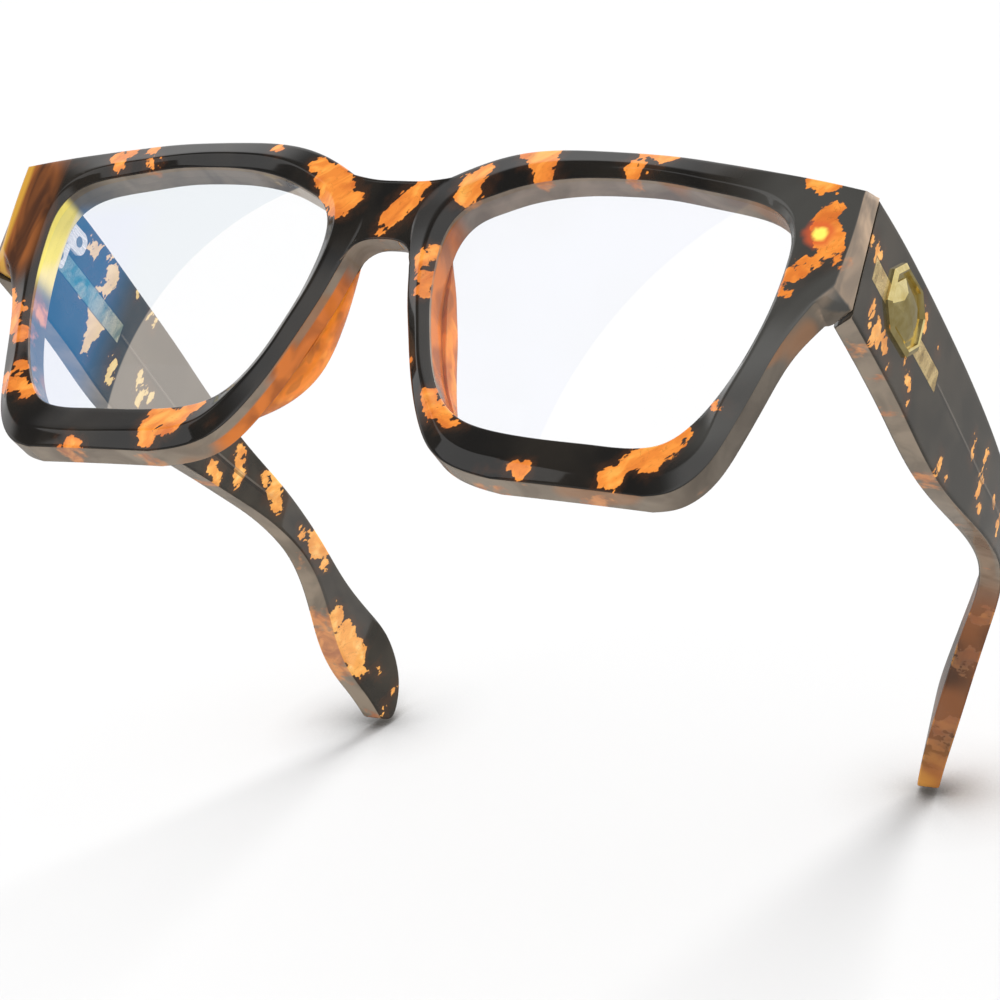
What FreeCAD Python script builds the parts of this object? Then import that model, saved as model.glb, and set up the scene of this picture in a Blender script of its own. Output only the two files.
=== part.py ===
import FreeCAD, Part
import math
import os

# Spectacles with faceted rims, five-barrel hinges, and temples with a metal core and a plaque.
# Millimetres.  Origin: middle of the bridge, on the front surface, at the height of the lens
# centre.  +X is the wearer's left, +Y runs back along the temples, +Z is up.
# Paired pieces are drawn on the +X side and mirrored.

os.makedirs("parts", exist_ok=True)
Vector = FreeCAD.Vector

# ---------------------------------------------------------------- dimensions
WRAP = 0.96e-3            # front surface is y = WRAP * x^2
FRONT_T = 6.5             # depth of the front, ridge line to back surface
DRAW_Z = 3.85             # height of the drawing line that outlines are measured from
REST_Z = -32.95           # flat the rims stand on, from the drawing line
REACH_Z = 60.0            # cutting blocks and blanks reach this far up and down

# joint between front and temple, as (x, y) in plan
MITRE_OUT = (74.5, 7.8)
MITRE_IN = (70.3, 11.55)
MITRE_GAP = 0.05

HINGE_X = 68.5            # hinge axis
HINGE_Y = 13.15
HINGE_Z = 12.2 + DRAW_Z   # middle of the barrel stack
BARREL_R = 1.5
BARREL_H = 1.7            # height of one barrel
BARREL_GAP = 0.06
BARREL_COUNT = 5
STACK_H = BARREL_COUNT * BARREL_H + (BARREL_COUNT - 1) * BARREL_GAP
STACK_BOTTOM = HINGE_Z - STACK_H / 2.0
STACK_TOP = STACK_BOTTOM + STACK_H
FRONT_BARRELS = range(0, BARREL_COUNT, 2)
TEMPLE_BARRELS = range(1, BARREL_COUNT, 2)


# ------------------------------------------------------------------- helpers
def wrap_y(x):
    """Depth of the front surface."""
    return WRAP * x * x


def wrap_angle(x):
    """Plan angle of the front surface, in radians."""
    return math.atan(2.0 * WRAP * x)


def drawn(x, y, z):
    """Point whose height is given from the drawing line."""
    return Vector(x, y, z + DRAW_Z)


def spline(points):
    curve = Part.BSplineCurve()
    curve.interpolate(points)
    return curve.toShape()


def lines(points):
    return [Part.makeLine(a, b) for a, b in zip(points, points[1:])]


def polygon(points):
    return Part.makePolygon(points + [points[0]])


def sorted_wire(edges):
    return Part.Wire(Part.__sortEdges__(edges))


def mirror(shape):
    return shape.mirror(Vector(0, 0, 0), Vector(1, 0, 0))


def largest(shape):
    return max(shape.Solids, key=lambda solid: solid.Volume)


def edges_at(shape, **place):
    """Edges whose every vertex has the given coordinates."""
    return [edge for edge in shape.Edges
            if all(abs(getattr(vertex.Point, axis) - value) < 1e-6
                   for vertex in edge.Vertexes for axis, value in place.items())]


def runs(points, corners):
    """Edges of a closed contour, broken at the corner points."""
    edges = []
    for start, end in zip(corners, corners[1:] + corners[:1]):
        count = (end - start) % len(points)
        run = [points[(start + i) % len(points)] for i in range(count + 1)]
        edges.append(spline(run) if len(run) > 2 else Part.makeLine(*run))
    return edges


def wrapped_slab(y_near, y_far, half_width=80.0):
    """Space between two curved walls that follow the wrap, y_near to y_far behind it."""
    y_end = wrap_y(half_width)

    def arc(offset):
        return Part.Arc(Vector(-half_width, y_end + offset, -REACH_Z),
                        Vector(0, offset, -REACH_Z),
                        Vector(half_width, y_end + offset, -REACH_Z)).toShape()

    def end_line(x):
        return Part.makeLine(Vector(x, y_end + y_near, -REACH_Z),
                             Vector(x, y_end + y_far, -REACH_Z))

    wire = sorted_wire([arc(y_near), end_line(half_width), arc(y_far), end_line(-half_width)])
    return Part.Face(wire).extrude(Vector(0, 0, 2 * REACH_Z))


def joint_block(sense, gap=0.0):
    """Block on one side of the joint plane: sense 1 is behind it, -1 is in front.

    The gap moves the plane backwards."""
    size = 60.0
    along = Vector(MITRE_IN[0] - MITRE_OUT[0], MITRE_IN[1] - MITRE_OUT[1], 0)
    along.normalize()
    behind = Vector(along.y, -along.x, 0)
    start = Vector(MITRE_OUT[0], MITRE_OUT[1], -REACH_Z) + behind * gap
    near = start - along * size
    far = start + along * size
    depth = behind * (sense * size * 4)
    return Part.Face(polygon([near, far, far + depth, near + depth])).extrude(
        Vector(0, 0, 2 * REACH_Z))


# ------------------------------------------------------------------ outlines
# (x, z) of the +X half, z from the drawing line, clockwise as seen with +X to
# the right and +Z up.  Points with the same index in the three outlines are paired.
APERTURE = [
    (10.2, 6.0), (10.9, 9.0), (12.8, 11.8), (16.3, 13.9), (19.8, 15.5),
    (24.0, 16.8), (30.0, 17.8), (36.2, 18.1), (42.5, 18.0), (49.0, 17.2),
    (55.5, 16.3), (59.5, 15.2), (62.3, 13.2), (63.75, 10.2), (63.95, 6.0),
    (63.4, -0.1), (62.5, -5.0), (60.9, -11.0), (58.8, -16.5), (56.2, -21.2),
    (53.0, -24.4), (49.0, -25.65), (43.0, -25.85), (37.0, -25.85),
    (31.0, -25.65), (26.0, -25.1), (22.0, -24.0), (18.8, -21.9),
    (16.4, -18.8), (14.5, -15.0), (12.8, -10.2), (11.2, -4.6), (10.4, 0.3)]

# Ridge line between the inner and the outer facet.
RIDGE = [
    (8.3, 6.6), (9.2, 10.5), (11.4, 13.6), (15.2, 16.0), (19.0, 17.8),
    (23.6, 19.1), (30.0, 19.8), (36.2, 19.95), (42.8, 19.6), (49.2, 18.9),
    (55.8, 18.0), (60.3, 16.5), (63.3, 13.9), (64.65, 10.5), (64.75, 6.0),
    (64.3, -0.3), (63.4, -5.3), (61.9, -11.6), (60.2, -18.2), (58.9, -24.9),
    (55.0, -29.1), (49.4, -30.4), (43.0, -30.7), (37.0, -30.5),
    (30.6, -30.2), (25.2, -29.5), (20.7, -27.4), (17.4, -23.4),
    (14.8, -19.2), (12.9, -15.2), (11.2, -10.0), (9.6, -4.6), (8.6, 0.6)]

# Rim edge.  The bottom run is straight so the front can stand on it, and the
# upper outer corner is the endpiece.
OUTER = [
    (4.5, 7.2), (5.3, 12.6), (8.4, 16.8), (13.0, 19.4), (18.2, 21.4),
    (23.5, 22.4), (30.0, 22.75), (36.2, 22.8), (43.0, 22.7), (50.0, 22.2),
    (58.0, 21.3), (66.0, 20.3), (74.5, 19.2), (74.5, 11.0), (74.5, 0.6),
    (69.7, -0.4), (66.6, -5.8), (64.2, -13.5), (61.9, -22.0), (59.4, -28.2),
    (55.4, -32.0), (52.0, -33.0), (43.0, -33.0), (36.0, -33.0),
    (29.0, -33.0), (23.2, -31.8), (18.6, -29.4), (15.2, -25.0),
    (12.7, -20.0), (10.8, -15.2), (9.0, -10.0), (7.1, -4.0), (5.9, 0.8)]

# Front edge of the rim edge: the endpiece slopes in towards the front.
ENDPIECE_FRONT = {12: (73.1, 19.05), 13: (72.85, 11.0), 14: (72.0, 3.3), 15: (69.4, -0.1)}
OUTER_FRONT = [ENDPIECE_FRONT.get(i, point) for i, point in enumerate(OUTER)]

INNER_DROP = 1.3          # how far the inner facet falls back at the aperture
# how far the outer facet falls back at each point of the rim edge
OUTER_DROPS = [1.3, 1.2, 1.2, 1.3, 1.3, 1.3, 1.3, 1.3, 1.3, 1.3,
               1.0, 0.7, 0.2, 0.2, 0.2, 0.5, 1.0, 1.3, 1.3, 1.3,
               1.3, 1.3, 1.3, 1.3, 1.3, 1.3, 1.3, 1.4, 1.5, 1.5,
               1.5, 1.4, 1.3]

# point indices where two curves meet at an angle
RIM_CORNERS = [2, 12, 14, 15, 21, 24]
LENS_CORNERS = [6, 14, 22, 30]

# --------------------------------------------------------------------- front
END_Y = 7.75              # depth at which the endpiece reaches full width
BLANK_BACK_Y = 25.0       # back of the untrimmed rims


def wrapped(points, drops, side):
    return [drawn(side * x, wrap_y(x) + drop, z) for (x, z), drop in zip(points, drops)]


def flat(points, y, side):
    return [drawn(side * x, y, z) for x, z in points]


def rim(side):
    """One rim with its endpiece: aperture wall, two facets, edge wall, back."""
    contours = [flat(APERTURE, BLANK_BACK_Y, side),
                wrapped(APERTURE, [INNER_DROP] * len(APERTURE), side),
                wrapped(RIDGE, [0.0] * len(RIDGE), side),
                wrapped(OUTER_FRONT, OUTER_DROPS, side),
                flat(OUTER, END_Y, side),
                flat(OUTER, BLANK_BACK_Y, side)]
    rings = [runs(contour, RIM_CORNERS) for contour in contours]
    faces = [Part.makeRuledSurface(a, b)
             for ring, next_ring in zip(rings, rings[1:])
             for a, b in zip(ring, next_ring)]
    outer_face = Part.Face(sorted_wire(rings[-1]))
    inner_face = Part.Face(sorted_wire(rings[0]))
    faces.append(outer_face.cut(inner_face).Faces[0])

    shell = Part.makeShell(faces)
    shell.sewShape(1e-4)
    solid = Part.makeSolid(shell.Shells[0])
    # sewing may leave the shell inside out
    if solid.Volume < 0:
        solid.reverse()
    return solid


BRIDGE_HALF = 8.2         # half width of the bridge block
BRIDGE_TOP_Z = 16.35      # top at the sides
BRIDGE_MID_TOP_Z = 15.95  # top in the middle
BRIDGE_LOW_Z = 2.3
BRIDGE_FRONT_Y = 1.25
BRIDGE_BACK_Y = BLANK_BACK_Y - 1.0
BRIDGE_LIFT = 3.6         # rise of the arch from front to back
# underside, +X foot to middle: x, z, share of the lift
BRIDGE_ARCH = [(5.9, 2.3, 0.0), (4.4, 4.25, 0.6), (2.4, 5.2, 1.0), (0, 5.4, 1.0)]


def bridge():
    """Saddle between the rims, its underside rising towards the back."""
    arch = BRIDGE_ARCH + [(-x, z, share) for x, z, share in reversed(BRIDGE_ARCH[:-1])]
    foot_x = BRIDGE_ARCH[0][0]

    def profile(y, lift):
        top = spline([drawn(-BRIDGE_HALF, y, BRIDGE_TOP_Z), drawn(0, y, BRIDGE_MID_TOP_Z),
                      drawn(BRIDGE_HALF, y, BRIDGE_TOP_Z)])
        left = lines([drawn(BRIDGE_HALF, y, BRIDGE_TOP_Z), drawn(BRIDGE_HALF, y, BRIDGE_LOW_Z),
                      drawn(foot_x, y, BRIDGE_LOW_Z)])
        under = spline([drawn(x, y, z + share * lift) for x, z, share in arch])
        right = lines([drawn(-foot_x, y, BRIDGE_LOW_Z), drawn(-BRIDGE_HALF, y, BRIDGE_LOW_Z),
                       drawn(-BRIDGE_HALF, y, BRIDGE_TOP_Z)])
        return Part.Wire([top] + left + [under] + right)

    # the block reaches far enough back to be trimmed by the back surface
    return Part.makeLoft([profile(BRIDGE_FRONT_Y, 0.0), profile(BRIDGE_BACK_Y, BRIDGE_LIFT)],
                         True, True)


def front_frame(lens, leaf_screws):
    """Both rims and the bridge, trimmed, with seats for the lenses and hinge leaves."""
    front = rim(1).fuse(rim(-1)).fuse(bridge())
    front = front.common(wrapped_slab(-12.0, FRONT_T))
    behind_joint = joint_block(1)
    for cutter in (behind_joint, mirror(behind_joint)):
        front = front.cut(cutter)
    floor_t = 20
    front = front.cut(Part.makeBox(200, 60, floor_t, drawn(-100, -20, REST_Z - floor_t)))
    front = largest(front.removeSplitter())
    for tool in [lens, front_leaf_plate()] + leaf_screws:
        front = front.cut(tool).cut(mirror(tool))
    return front


# ---------------------------------------------------------------------- lens
LENS_R = 200.0            # lens curve
LENS_T = 1.8              # lens thickness
LENS_BITE = 0.9           # how far the lens sits into the rim groove
LENS_X = 37.1             # lens centre
LENS_SET = 0.9            # lens front behind the ridge surface at its centre


def offset_outline(points, grow):
    """Clockwise outline with each point moved outwards by grow."""
    grown = []
    for i, (x, z) in enumerate(points):
        before = points[i - 1]
        after = points[(i + 1) % len(points)]
        dx, dz = after[0] - before[0], after[1] - before[1]
        length = math.hypot(dx, dz)
        grown.append((x - grow * dz / length, z + grow * dx / length))
    return grown


def make_lens():
    """Spherical shell cut to the aperture outline, grown by the bite."""
    angle = wrap_angle(LENS_X)
    axis = Vector(-math.sin(angle), math.cos(angle), 0)
    centre = Vector(LENS_X, wrap_y(LENS_X) + LENS_SET, 0) + axis * LENS_R
    ball = Part.makeSphere(LENS_R, centre)
    core = Part.makeSphere(LENS_R - LENS_T, centre)
    edges = runs(flat(offset_outline(APERTURE, LENS_BITE), -10.0, 1), LENS_CORNERS)
    prism = Part.Face(Part.Wire(edges)).extrude(Vector(0, 40.0, 0))
    return prism.common(ball).cut(core).Solids[0]


# ----------------------------------------------------------------- nose pads
PAD_FRONT_Y = 4.2         # front of the untrimmed pad
# z, nasal edge x, crest x, crest y, lens-side x
PAD_STATIONS = [
    (6.5, 4.9, 7.9, 6.9, 9.9), (4.0, 5.2, 8.5, 8.9, 10.3),
    (1.5, 5.7, 9.1, 10.7, 10.8), (-2.0, 6.5, 9.7, 12.5, 11.4),
    (-6.0, 7.6, 10.3, 13.7, 12.4), (-10.0, 8.7, 11.0, 14.1, 13.4),
    (-14.0, 10.2, 12.2, 13.7, 14.7), (-18.0, 12.0, 14.1, 12.3, 16.4),
    (-21.5, 13.8, 16.0, 10.0, 18.3), (-24.5, 15.5, 17.6, 7.4, 19.6)]


def pad_section(z, nasal_x, crest_x, crest_y, lens_x):
    rise = crest_y - PAD_FRONT_Y
    plan = [(nasal_x + 0.3, PAD_FRONT_Y),
            (lens_x - 0.3, PAD_FRONT_Y),
            (lens_x - 0.1, PAD_FRONT_Y + max(0.6 * rise, 0.8)),
            (crest_x + 0.55 * (lens_x - crest_x), PAD_FRONT_Y + 0.9 * rise),
            (crest_x, crest_y),
            (crest_x - 0.65 * (crest_x - nasal_x), PAD_FRONT_Y + 0.78 * rise),
            (nasal_x + 0.1, PAD_FRONT_Y + 0.42 * rise)]
    points = [drawn(x, y, z) for x, y in plan]
    return Part.Wire([spline(points[1:] + [points[0]]), Part.makeLine(points[0], points[1])])


def nose_pad(front):
    """Pad standing on the back of the front, shaped to meet it."""
    blank = Part.makeLoft([pad_section(*station) for station in PAD_STATIONS], True, False)
    return largest(blank.cut(front).common(wrapped_slab(FRONT_T, 40.0)))


# --------------------------------------------------------------- front hinge
SCREW_R = 0.65            # hinge screw
SCREW_CLEAR = 0.05        # running clearance in the temple's barrels
TURN_CLEAR = 0.08         # radial room for the temple's barrels to turn

LEAF_T = 1.1
LEAF_X = 65.0             # leaf point, on the back surface
LEAF_Y = wrap_y(LEAF_X) + FRONT_T
LEAF_START = -0.95        # inner end of the leaf, from the leaf point
LEAF_L = 4.75
WEB_START = 1.05          # inner end of the webs that carry the barrels
WEB_L = 2.9
FRONT_LEAF_SCREWS = [(0.05, -2.3), (0.05, 2.3)]     # along the leaf, up


def barrel_z(i):
    return STACK_BOTTOM + i * (BARREL_H + BARREL_GAP)


def on_axis(radius, height, z):
    """Upright cylinder on the hinge axis."""
    return Part.makeCylinder(radius, height, Vector(HINGE_X, HINGE_Y, z))


def bore(radius):
    return on_axis(radius, STACK_H + 6.0, STACK_BOTTOM - 3.0)


def leaf_local(shape):
    """Lay a shape drawn about the leaf point onto the sloping back."""
    shape.rotate(Vector(0, 0, 0), Vector(0, 0, 1), math.degrees(wrap_angle(LEAF_X)))
    shape.translate(Vector(LEAF_X, LEAF_Y, HINGE_Z))
    return shape


def front_leaf_plate():
    """Leaf half sunk in the back of the front, rounded at its inner end."""
    half_h = STACK_H / 2.0
    plate = Part.makeBox(LEAF_L, LEAF_T, STACK_H, Vector(LEAF_START, -LEAF_T / 2.0, -half_h))
    corners = edges_at(plate, x=LEAF_START, z=-half_h) + edges_at(plate, x=LEAF_START, z=half_h)
    return leaf_local(plate.makeFillet(0.4, corners))


def front_leaf_screw(along, up):
    """Countersunk screw, its head towards the back."""
    shank = Part.makeCylinder(0.4, 1.5, Vector(along, -1.1, up), Vector(0, 1, 0))
    head = Part.makeCone(0.4, 0.75, 0.5, Vector(along, 0.02, up), Vector(0, 1, 0))
    return leaf_local(shank.fuse(head).removeSplitter())


def front_hinge():
    hinge = front_leaf_plate()
    web_depth = HINGE_Y - LEAF_Y - LEAF_T / 2.0
    for i in FRONT_BARRELS:
        z = barrel_z(i)
        hinge = hinge.fuse(on_axis(BARREL_R, BARREL_H, z))
        web = Part.makeBox(WEB_L, web_depth, BARREL_H, Vector(WEB_START, 0.2, z - HINGE_Z))
        hinge = hinge.fuse(leaf_local(web))
    # slots that let the temple's barrels turn
    for i in TEMPLE_BARRELS:
        hinge = hinge.cut(on_axis(BARREL_R + TURN_CLEAR, BARREL_H + 2 * BARREL_GAP,
                                  barrel_z(i) - BARREL_GAP))
    hinge = hinge.cut(bore(SCREW_R))
    for along, up in FRONT_LEAF_SCREWS:
        hinge = hinge.cut(front_leaf_screw(along, up))
    return hinge.removeSplitter()


def hinge_screw():
    """Slotted screw dropped through the barrels from above."""
    head_h = 0.55
    slot_w = 0.3
    slot_z = STACK_TOP + 0.3
    head_top = STACK_TOP + head_h
    shank = on_axis(SCREW_R, STACK_H, STACK_BOTTOM)
    head = on_axis(1.15, head_h, STACK_TOP)
    head = head.makeChamfer(0.15, [edge for edge in head.Edges
                                   if abs(edge.BoundBox.ZMin - head_top) < 1e-6
                                   and abs(edge.BoundBox.ZMax - head_top) < 1e-6])
    slot = Part.makeBox(4, slot_w, 0.3, Vector(HINGE_X - 2, HINGE_Y - slot_w / 2.0, slot_z))
    return shank.fuse(head).cut(slot).removeSplitter()


# ------------------------------------------------------------------- temples
# plan of the outer face, front to tip: x, y, thickness
TEMPLE_PLAN = [
    (74.5, 7.0, 4.0), (75.15, 20.0, 4.0), (76.0, 35.0, 4.0), (76.8, 50.0, 4.0),
    (77.4, 65.0, 4.0), (77.7, 77.0, 4.0), (77.4, 87.0, 4.0), (76.4, 96.0, 4.0),
    (74.6, 104.0, 4.0), (72.1, 112.0, 4.05), (69.4, 118.6, 4.2), (66.9, 124.0, 4.3),
    (64.2, 130.0, 4.35), (61.4, 137.0, 4.3), (59.2, 143.0, 4.0), (57.2, 149.0, 3.6)]

# side view, (y, z): upper edge from front to tip, lower edge from tip to front
TEMPLE_TOP = [
    (6.0, 18.95), (19.4, 19.4), (32.7, 19.0), (46.0, 18.2), (63.0, 16.9),
    (77.0, 15.3), (91.8, 13.4), (100.0, 12.0), (107.5, 10.1),
    (113.5, 7.5), (118.5, 4.5), (123.0, 1.4), (127.4, -1.0),
    (132.5, -2.9), (137.0, -4.6), (140.9, -7.4), (144.0, -11.2),
    (145.6, -15.8), (145.2, -19.6), (142.6, -20.9)]
TEMPLE_LOW = [
    (142.6, -20.9), (137.5, -18.5), (133.3, -16.8), (129.0, -14.0),
    (124.0, -8.2), (119.5, -2.8), (115.0, 0.6), (110.0, 2.3),
    (104.0, 3.0), (96.0, 2.7), (86.2, 1.6), (78.0, 0.3), (71.4, -0.8),
    (62.0, -2.2), (51.0, -3.0), (42.0, -2.5), (33.0, -1.5),
    (19.0, -0.6), (6.0, -0.25)]

SIDE_X = 40.0             # side views are drawn here and extruded outwards
SIDE_EXTRUDE = Vector(50, 0, 0)
INNER_X = TEMPLE_PLAN[1][0] - TEMPLE_PLAN[1][2]     # inner face beside the hinge


def outer_x(y):
    """Outer face of the temple, straight between stations."""
    for (x1, y1, _), (x2, y2, _) in zip(TEMPLE_PLAN, TEMPLE_PLAN[1:]):
        if y <= y2:
            return x1 + (x2 - x1) * (y - y1) / (y2 - y1)
    return TEMPLE_PLAN[-1][0]


def plan_face():
    """Plan of the temple: outer curve, tip, inner curve, hinge end."""
    outer = [Vector(x, y, -REACH_Z) for x, y, _ in TEMPLE_PLAN]
    inner = []
    for i, (x, y, thickness) in enumerate(TEMPLE_PLAN):
        before = outer[max(i - 1, 0)]
        after = outer[min(i + 1, len(outer) - 1)]
        dx, dy = after.x - before.x, after.y - before.y
        length = math.hypot(dx, dy)
        inner.append(Vector(x - thickness * dy / length, y + thickness * dx / length, -REACH_Z))
    return Part.Face(Part.Wire([spline(outer), Part.makeLine(outer[-1], inner[-1]),
                                spline(inner[::-1]), Part.makeLine(inner[0], outer[0])]))


def side_prism():
    top = [drawn(SIDE_X, y, z) for y, z in TEMPLE_TOP]
    low = [drawn(SIDE_X, y, z) for y, z in TEMPLE_LOW]
    wire = Part.Wire([spline(top), spline(low), Part.makeLine(low[-1], top[0])])
    return Part.Face(wire).extrude(SIDE_EXTRUDE)


def make_temple(inlays, hinge):
    """Temple with pockets for its inlays and its half of the hinge."""
    temple = plan_face().extrude(Vector(0, 0, 2 * REACH_Z)).common(side_prism())
    temple = temple.cut(joint_block(-1, MITRE_GAP)).Solids[0]
    for tool in inlays + [hinge]:
        temple = temple.cut(tool)
    return largest(temple)


# ----------------------------------------------------------------- core wire
CORE_DEPTH = 2.1          # middle of the core, in from the outer face
STRIP_Z = 9.9             # middle of the strip at its front end
STRIP_T = 0.8
STRIP_H = 3.7
STRIP_PLAN_Y = [11.6, 20.0, 28.0, 36.0, 43.6]
# side view: y, drop below STRIP_Z, upper (1) or lower (-1) edge
STRIP_SIDE = [(11.6, 0.0, 1), (43.0, 1.0, 1), (43.6, 1.6, 1),
              (43.6, 0.4, -1), (43.0, 1.0, -1), (11.6, 0.0, -1)]
WIRE_R = 0.65
WIRE_PATH = [             # (y, z)
    (43.0, 8.85), (52.0, 8.2), (62.0, 7.5), (73.0, 6.8), (84.0, 6.9),
    (94.0, 7.4), (102.0, 7.0), (109.0, 5.9), (115.0, 3.6),
    (120.5, -0.9), (126.0, -5.6), (132.0, -9.2), (138.0, -11.8)]


def core_wire():
    """Flat strip at the front, then a round wire along the temple."""
    def plan_edge(offset):
        return [Vector(outer_x(y) - CORE_DEPTH + offset, y, 0) for y in STRIP_PLAN_Y]

    plan = plan_edge(STRIP_T / 2.0) + plan_edge(-STRIP_T / 2.0)[::-1]
    band = Part.Face(polygon(plan)).extrude(Vector(0, 0, 40))
    side = [drawn(SIDE_X, y, STRIP_Z - drop + edge * STRIP_H / 2)
            for y, drop, edge in STRIP_SIDE]
    strip = band.common(Part.Face(polygon(side)).extrude(SIDE_EXTRUDE))

    path = [drawn(outer_x(y) - CORE_DEPTH, y, z) for y, z in WIRE_PATH]
    spine = spline(path)
    tangent = spine.tangentAt(spine.FirstParameter)
    profile = Part.Wire(Part.makeCircle(WIRE_R, path[0], tangent))
    pipe = Part.Wire(spine).makePipeShell([profile], True, False)
    return strip.fuse(pipe).removeSplitter()


# ------------------------------------------------------------------ ornament
PLAQUE_Y = (17.8, 32.8)   # extent along the temple
PLAQUE_Z = (5.1, 16.8)
PLAQUE_SUNK = 0.35        # depth below the outer face
PLAQUE_EDGE = 0.45        # height of the upright edge
PLAQUE_T = 1.3            # height of the flat top
PLAQUE_BEVEL = 1.9        # inset of the flat top
PIN_YS = (21.3, 29.3)
PIN_RISE = 3.4            # pins above the middle of the plaque


def plaque_outline(inset, lift):
    """Eight-cornered outline lying along the temple's outer face."""
    y1, y2 = PLAQUE_Y[0] + inset, PLAQUE_Y[1] - inset
    z1, z2 = PLAQUE_Z[0] + inset, PLAQUE_Z[1] - inset
    cut_y = 3.6 - 0.4 * inset
    cut_z = cut_y * 0.9
    corners = [(y1 + cut_y, z1), (y2 - cut_y, z1), (y2, z1 + cut_z), (y2, z2 - cut_z),
               (y2 - cut_y, z2), (y1 + cut_y, z2), (y1, z2 - cut_z), (y1, z1 + cut_z)]
    front_y, back_y = PLAQUE_Y
    front_x = outer_x(front_y)
    slope = (outer_x(back_y) - front_x) / (back_y - front_y)
    return polygon([drawn(front_x + slope * (y - front_y) + lift, y, z) for y, z in corners])


def ornament():
    """Faceted plaque with two pins that go into the temple."""
    base = Part.makeLoft([plaque_outline(0.0, -PLAQUE_SUNK),
                          plaque_outline(0.0, PLAQUE_EDGE)], True, True)
    top = Part.makeLoft([plaque_outline(0.0, PLAQUE_EDGE),
                         plaque_outline(PLAQUE_BEVEL, PLAQUE_T)], True, True)
    plaque = base.fuse(top)
    pin_z = sum(PLAQUE_Z) / 2.0 + PIN_RISE
    for y in PIN_YS:
        plaque = plaque.fuse(Part.makeCylinder(0.5, 1.0, drawn(outer_x(y) - 1.25, y, pin_z),
                                               Vector(1, 0, 0)))
    return plaque.removeSplitter()


# -------------------------------------------------------------- temple hinge
TEMPLE_LEAF_Y = (15.2, 20.0)
TEMPLE_LEAF_T = 1.0       # half of it sunk in the temple
LOBE_END_Y = 24.0         # rear end of the upper lobe
LOBE_LOW_Z = HINGE_Z + 0.25
ARM_END_Y = 16.4          # rear end of the arms from barrel to leaf
TEMPLE_LEAF_SCREWS = [(18.1, -2.4), (21.7, 2.3)]   # y, up from the hinge middle


def temple_leaf_plate():
    """Full height beside the barrels, then a rounded lobe running back above the core strip."""
    y1, y2 = TEMPLE_LEAF_Y
    side = [(y1, STACK_BOTTOM), (y2, STACK_BOTTOM), (y2, LOBE_LOW_Z),
            (LOBE_END_Y, LOBE_LOW_Z), (LOBE_END_Y, STACK_TOP), (y1, STACK_TOP)]
    face_x = INNER_X - TEMPLE_LEAF_T / 2.0
    plate = Part.Face(polygon([Vector(face_x, y, z) for y, z in side])).extrude(
        Vector(TEMPLE_LEAF_T, 0, 0))
    lobe = (edges_at(plate, y=LOBE_END_Y, z=LOBE_LOW_Z)
            + edges_at(plate, y=LOBE_END_Y, z=STACK_TOP))
    plate = plate.makeFillet(1.7, lobe)
    return plate.makeFillet(0.9, edges_at(plate, y=y2, z=STACK_BOTTOM))


def temple_leaf_screw(y, up):
    """Countersunk screw, its head on the inner side of the leaf."""
    z = HINGE_Z + up
    shank = Part.makeCylinder(0.45, 1.4, Vector(INNER_X - 0.4, y, z), Vector(1, 0, 0))
    head = Part.makeCone(0.95, 0.45, 0.5, Vector(INNER_X - 0.52, y, z), Vector(1, 0, 0))
    return shank.fuse(head).removeSplitter()


def temple_hinge():
    hinge = temple_leaf_plate()
    arm_plan = [(HINGE_X, HINGE_Y - 0.1), (INNER_X + 0.1, HINGE_Y - 0.1),
                (INNER_X + 0.1, ARM_END_Y), (INNER_X - TEMPLE_LEAF_T / 2.0, ARM_END_Y),
                (HINGE_X, HINGE_Y + BARREL_R)]
    for i in TEMPLE_BARRELS:
        z = barrel_z(i)
        hinge = hinge.fuse(on_axis(BARREL_R, BARREL_H, z))
        arm = Part.Face(polygon([Vector(x, y, z) for x, y in arm_plan]))
        hinge = hinge.fuse(arm.extrude(Vector(0, 0, BARREL_H)))
    hinge = hinge.cut(bore(SCREW_R + SCREW_CLEAR))
    for y, up in TEMPLE_LEAF_SCREWS:
        hinge = hinge.cut(temple_leaf_screw(y, up))
    return hinge.removeSplitter()


# ------------------------------------------------------------------ assembly
lens = make_lens()
front_screws = [front_leaf_screw(along, up) for along, up in FRONT_LEAF_SCREWS]
front = front_frame(lens, front_screws)

wire = core_wire()
plaque = ornament()
temple_leaf = temple_hinge()
temple_screws = [temple_leaf_screw(y, up) for y, up in TEMPLE_LEAF_SCREWS]
temple = make_temple([wire, plaque, temple_leaf_plate()] + temple_screws, temple_leaf)

paired = {
    "nose_pad": nose_pad(front),
    "front_hinge": front_hinge(),
    "hinge_screw": hinge_screw(),
    "front_hinge_screws": Part.makeCompound(front_screws),
    "temple": temple,
    "core_wire": wire,
    "temple_ornament": plaque,
    "temple_hinge": temple_leaf,
    "temple_hinge_screws": Part.makeCompound(temple_screws),
    "lens": lens,
}

front.Solids[0].exportStep("parts/front_frame.step")
for name, shape in paired.items():
    if len(shape.Solids) == 1:
        shape = shape.Solids[0]
    shape.exportStep("parts/%s_left.step" % name)
    mirror(shape).exportStep("parts/%s_right.step" % name)
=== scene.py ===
"""Tortoiseshell spectacles, worn facing -Y.

The front curves back from y = 0 at the bridge, the temples run along +Y and turn down at
their ends, and z is up. The +X side is the wearer's left. Sizes are in mm and become metres
when a mesh is made. Outline heights are measured from a line FRAME_Z above the origin.
"""
import bpy
import bmesh
import math
import numpy as np
from types import SimpleNamespace
from mathutils import Vector, Matrix


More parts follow.
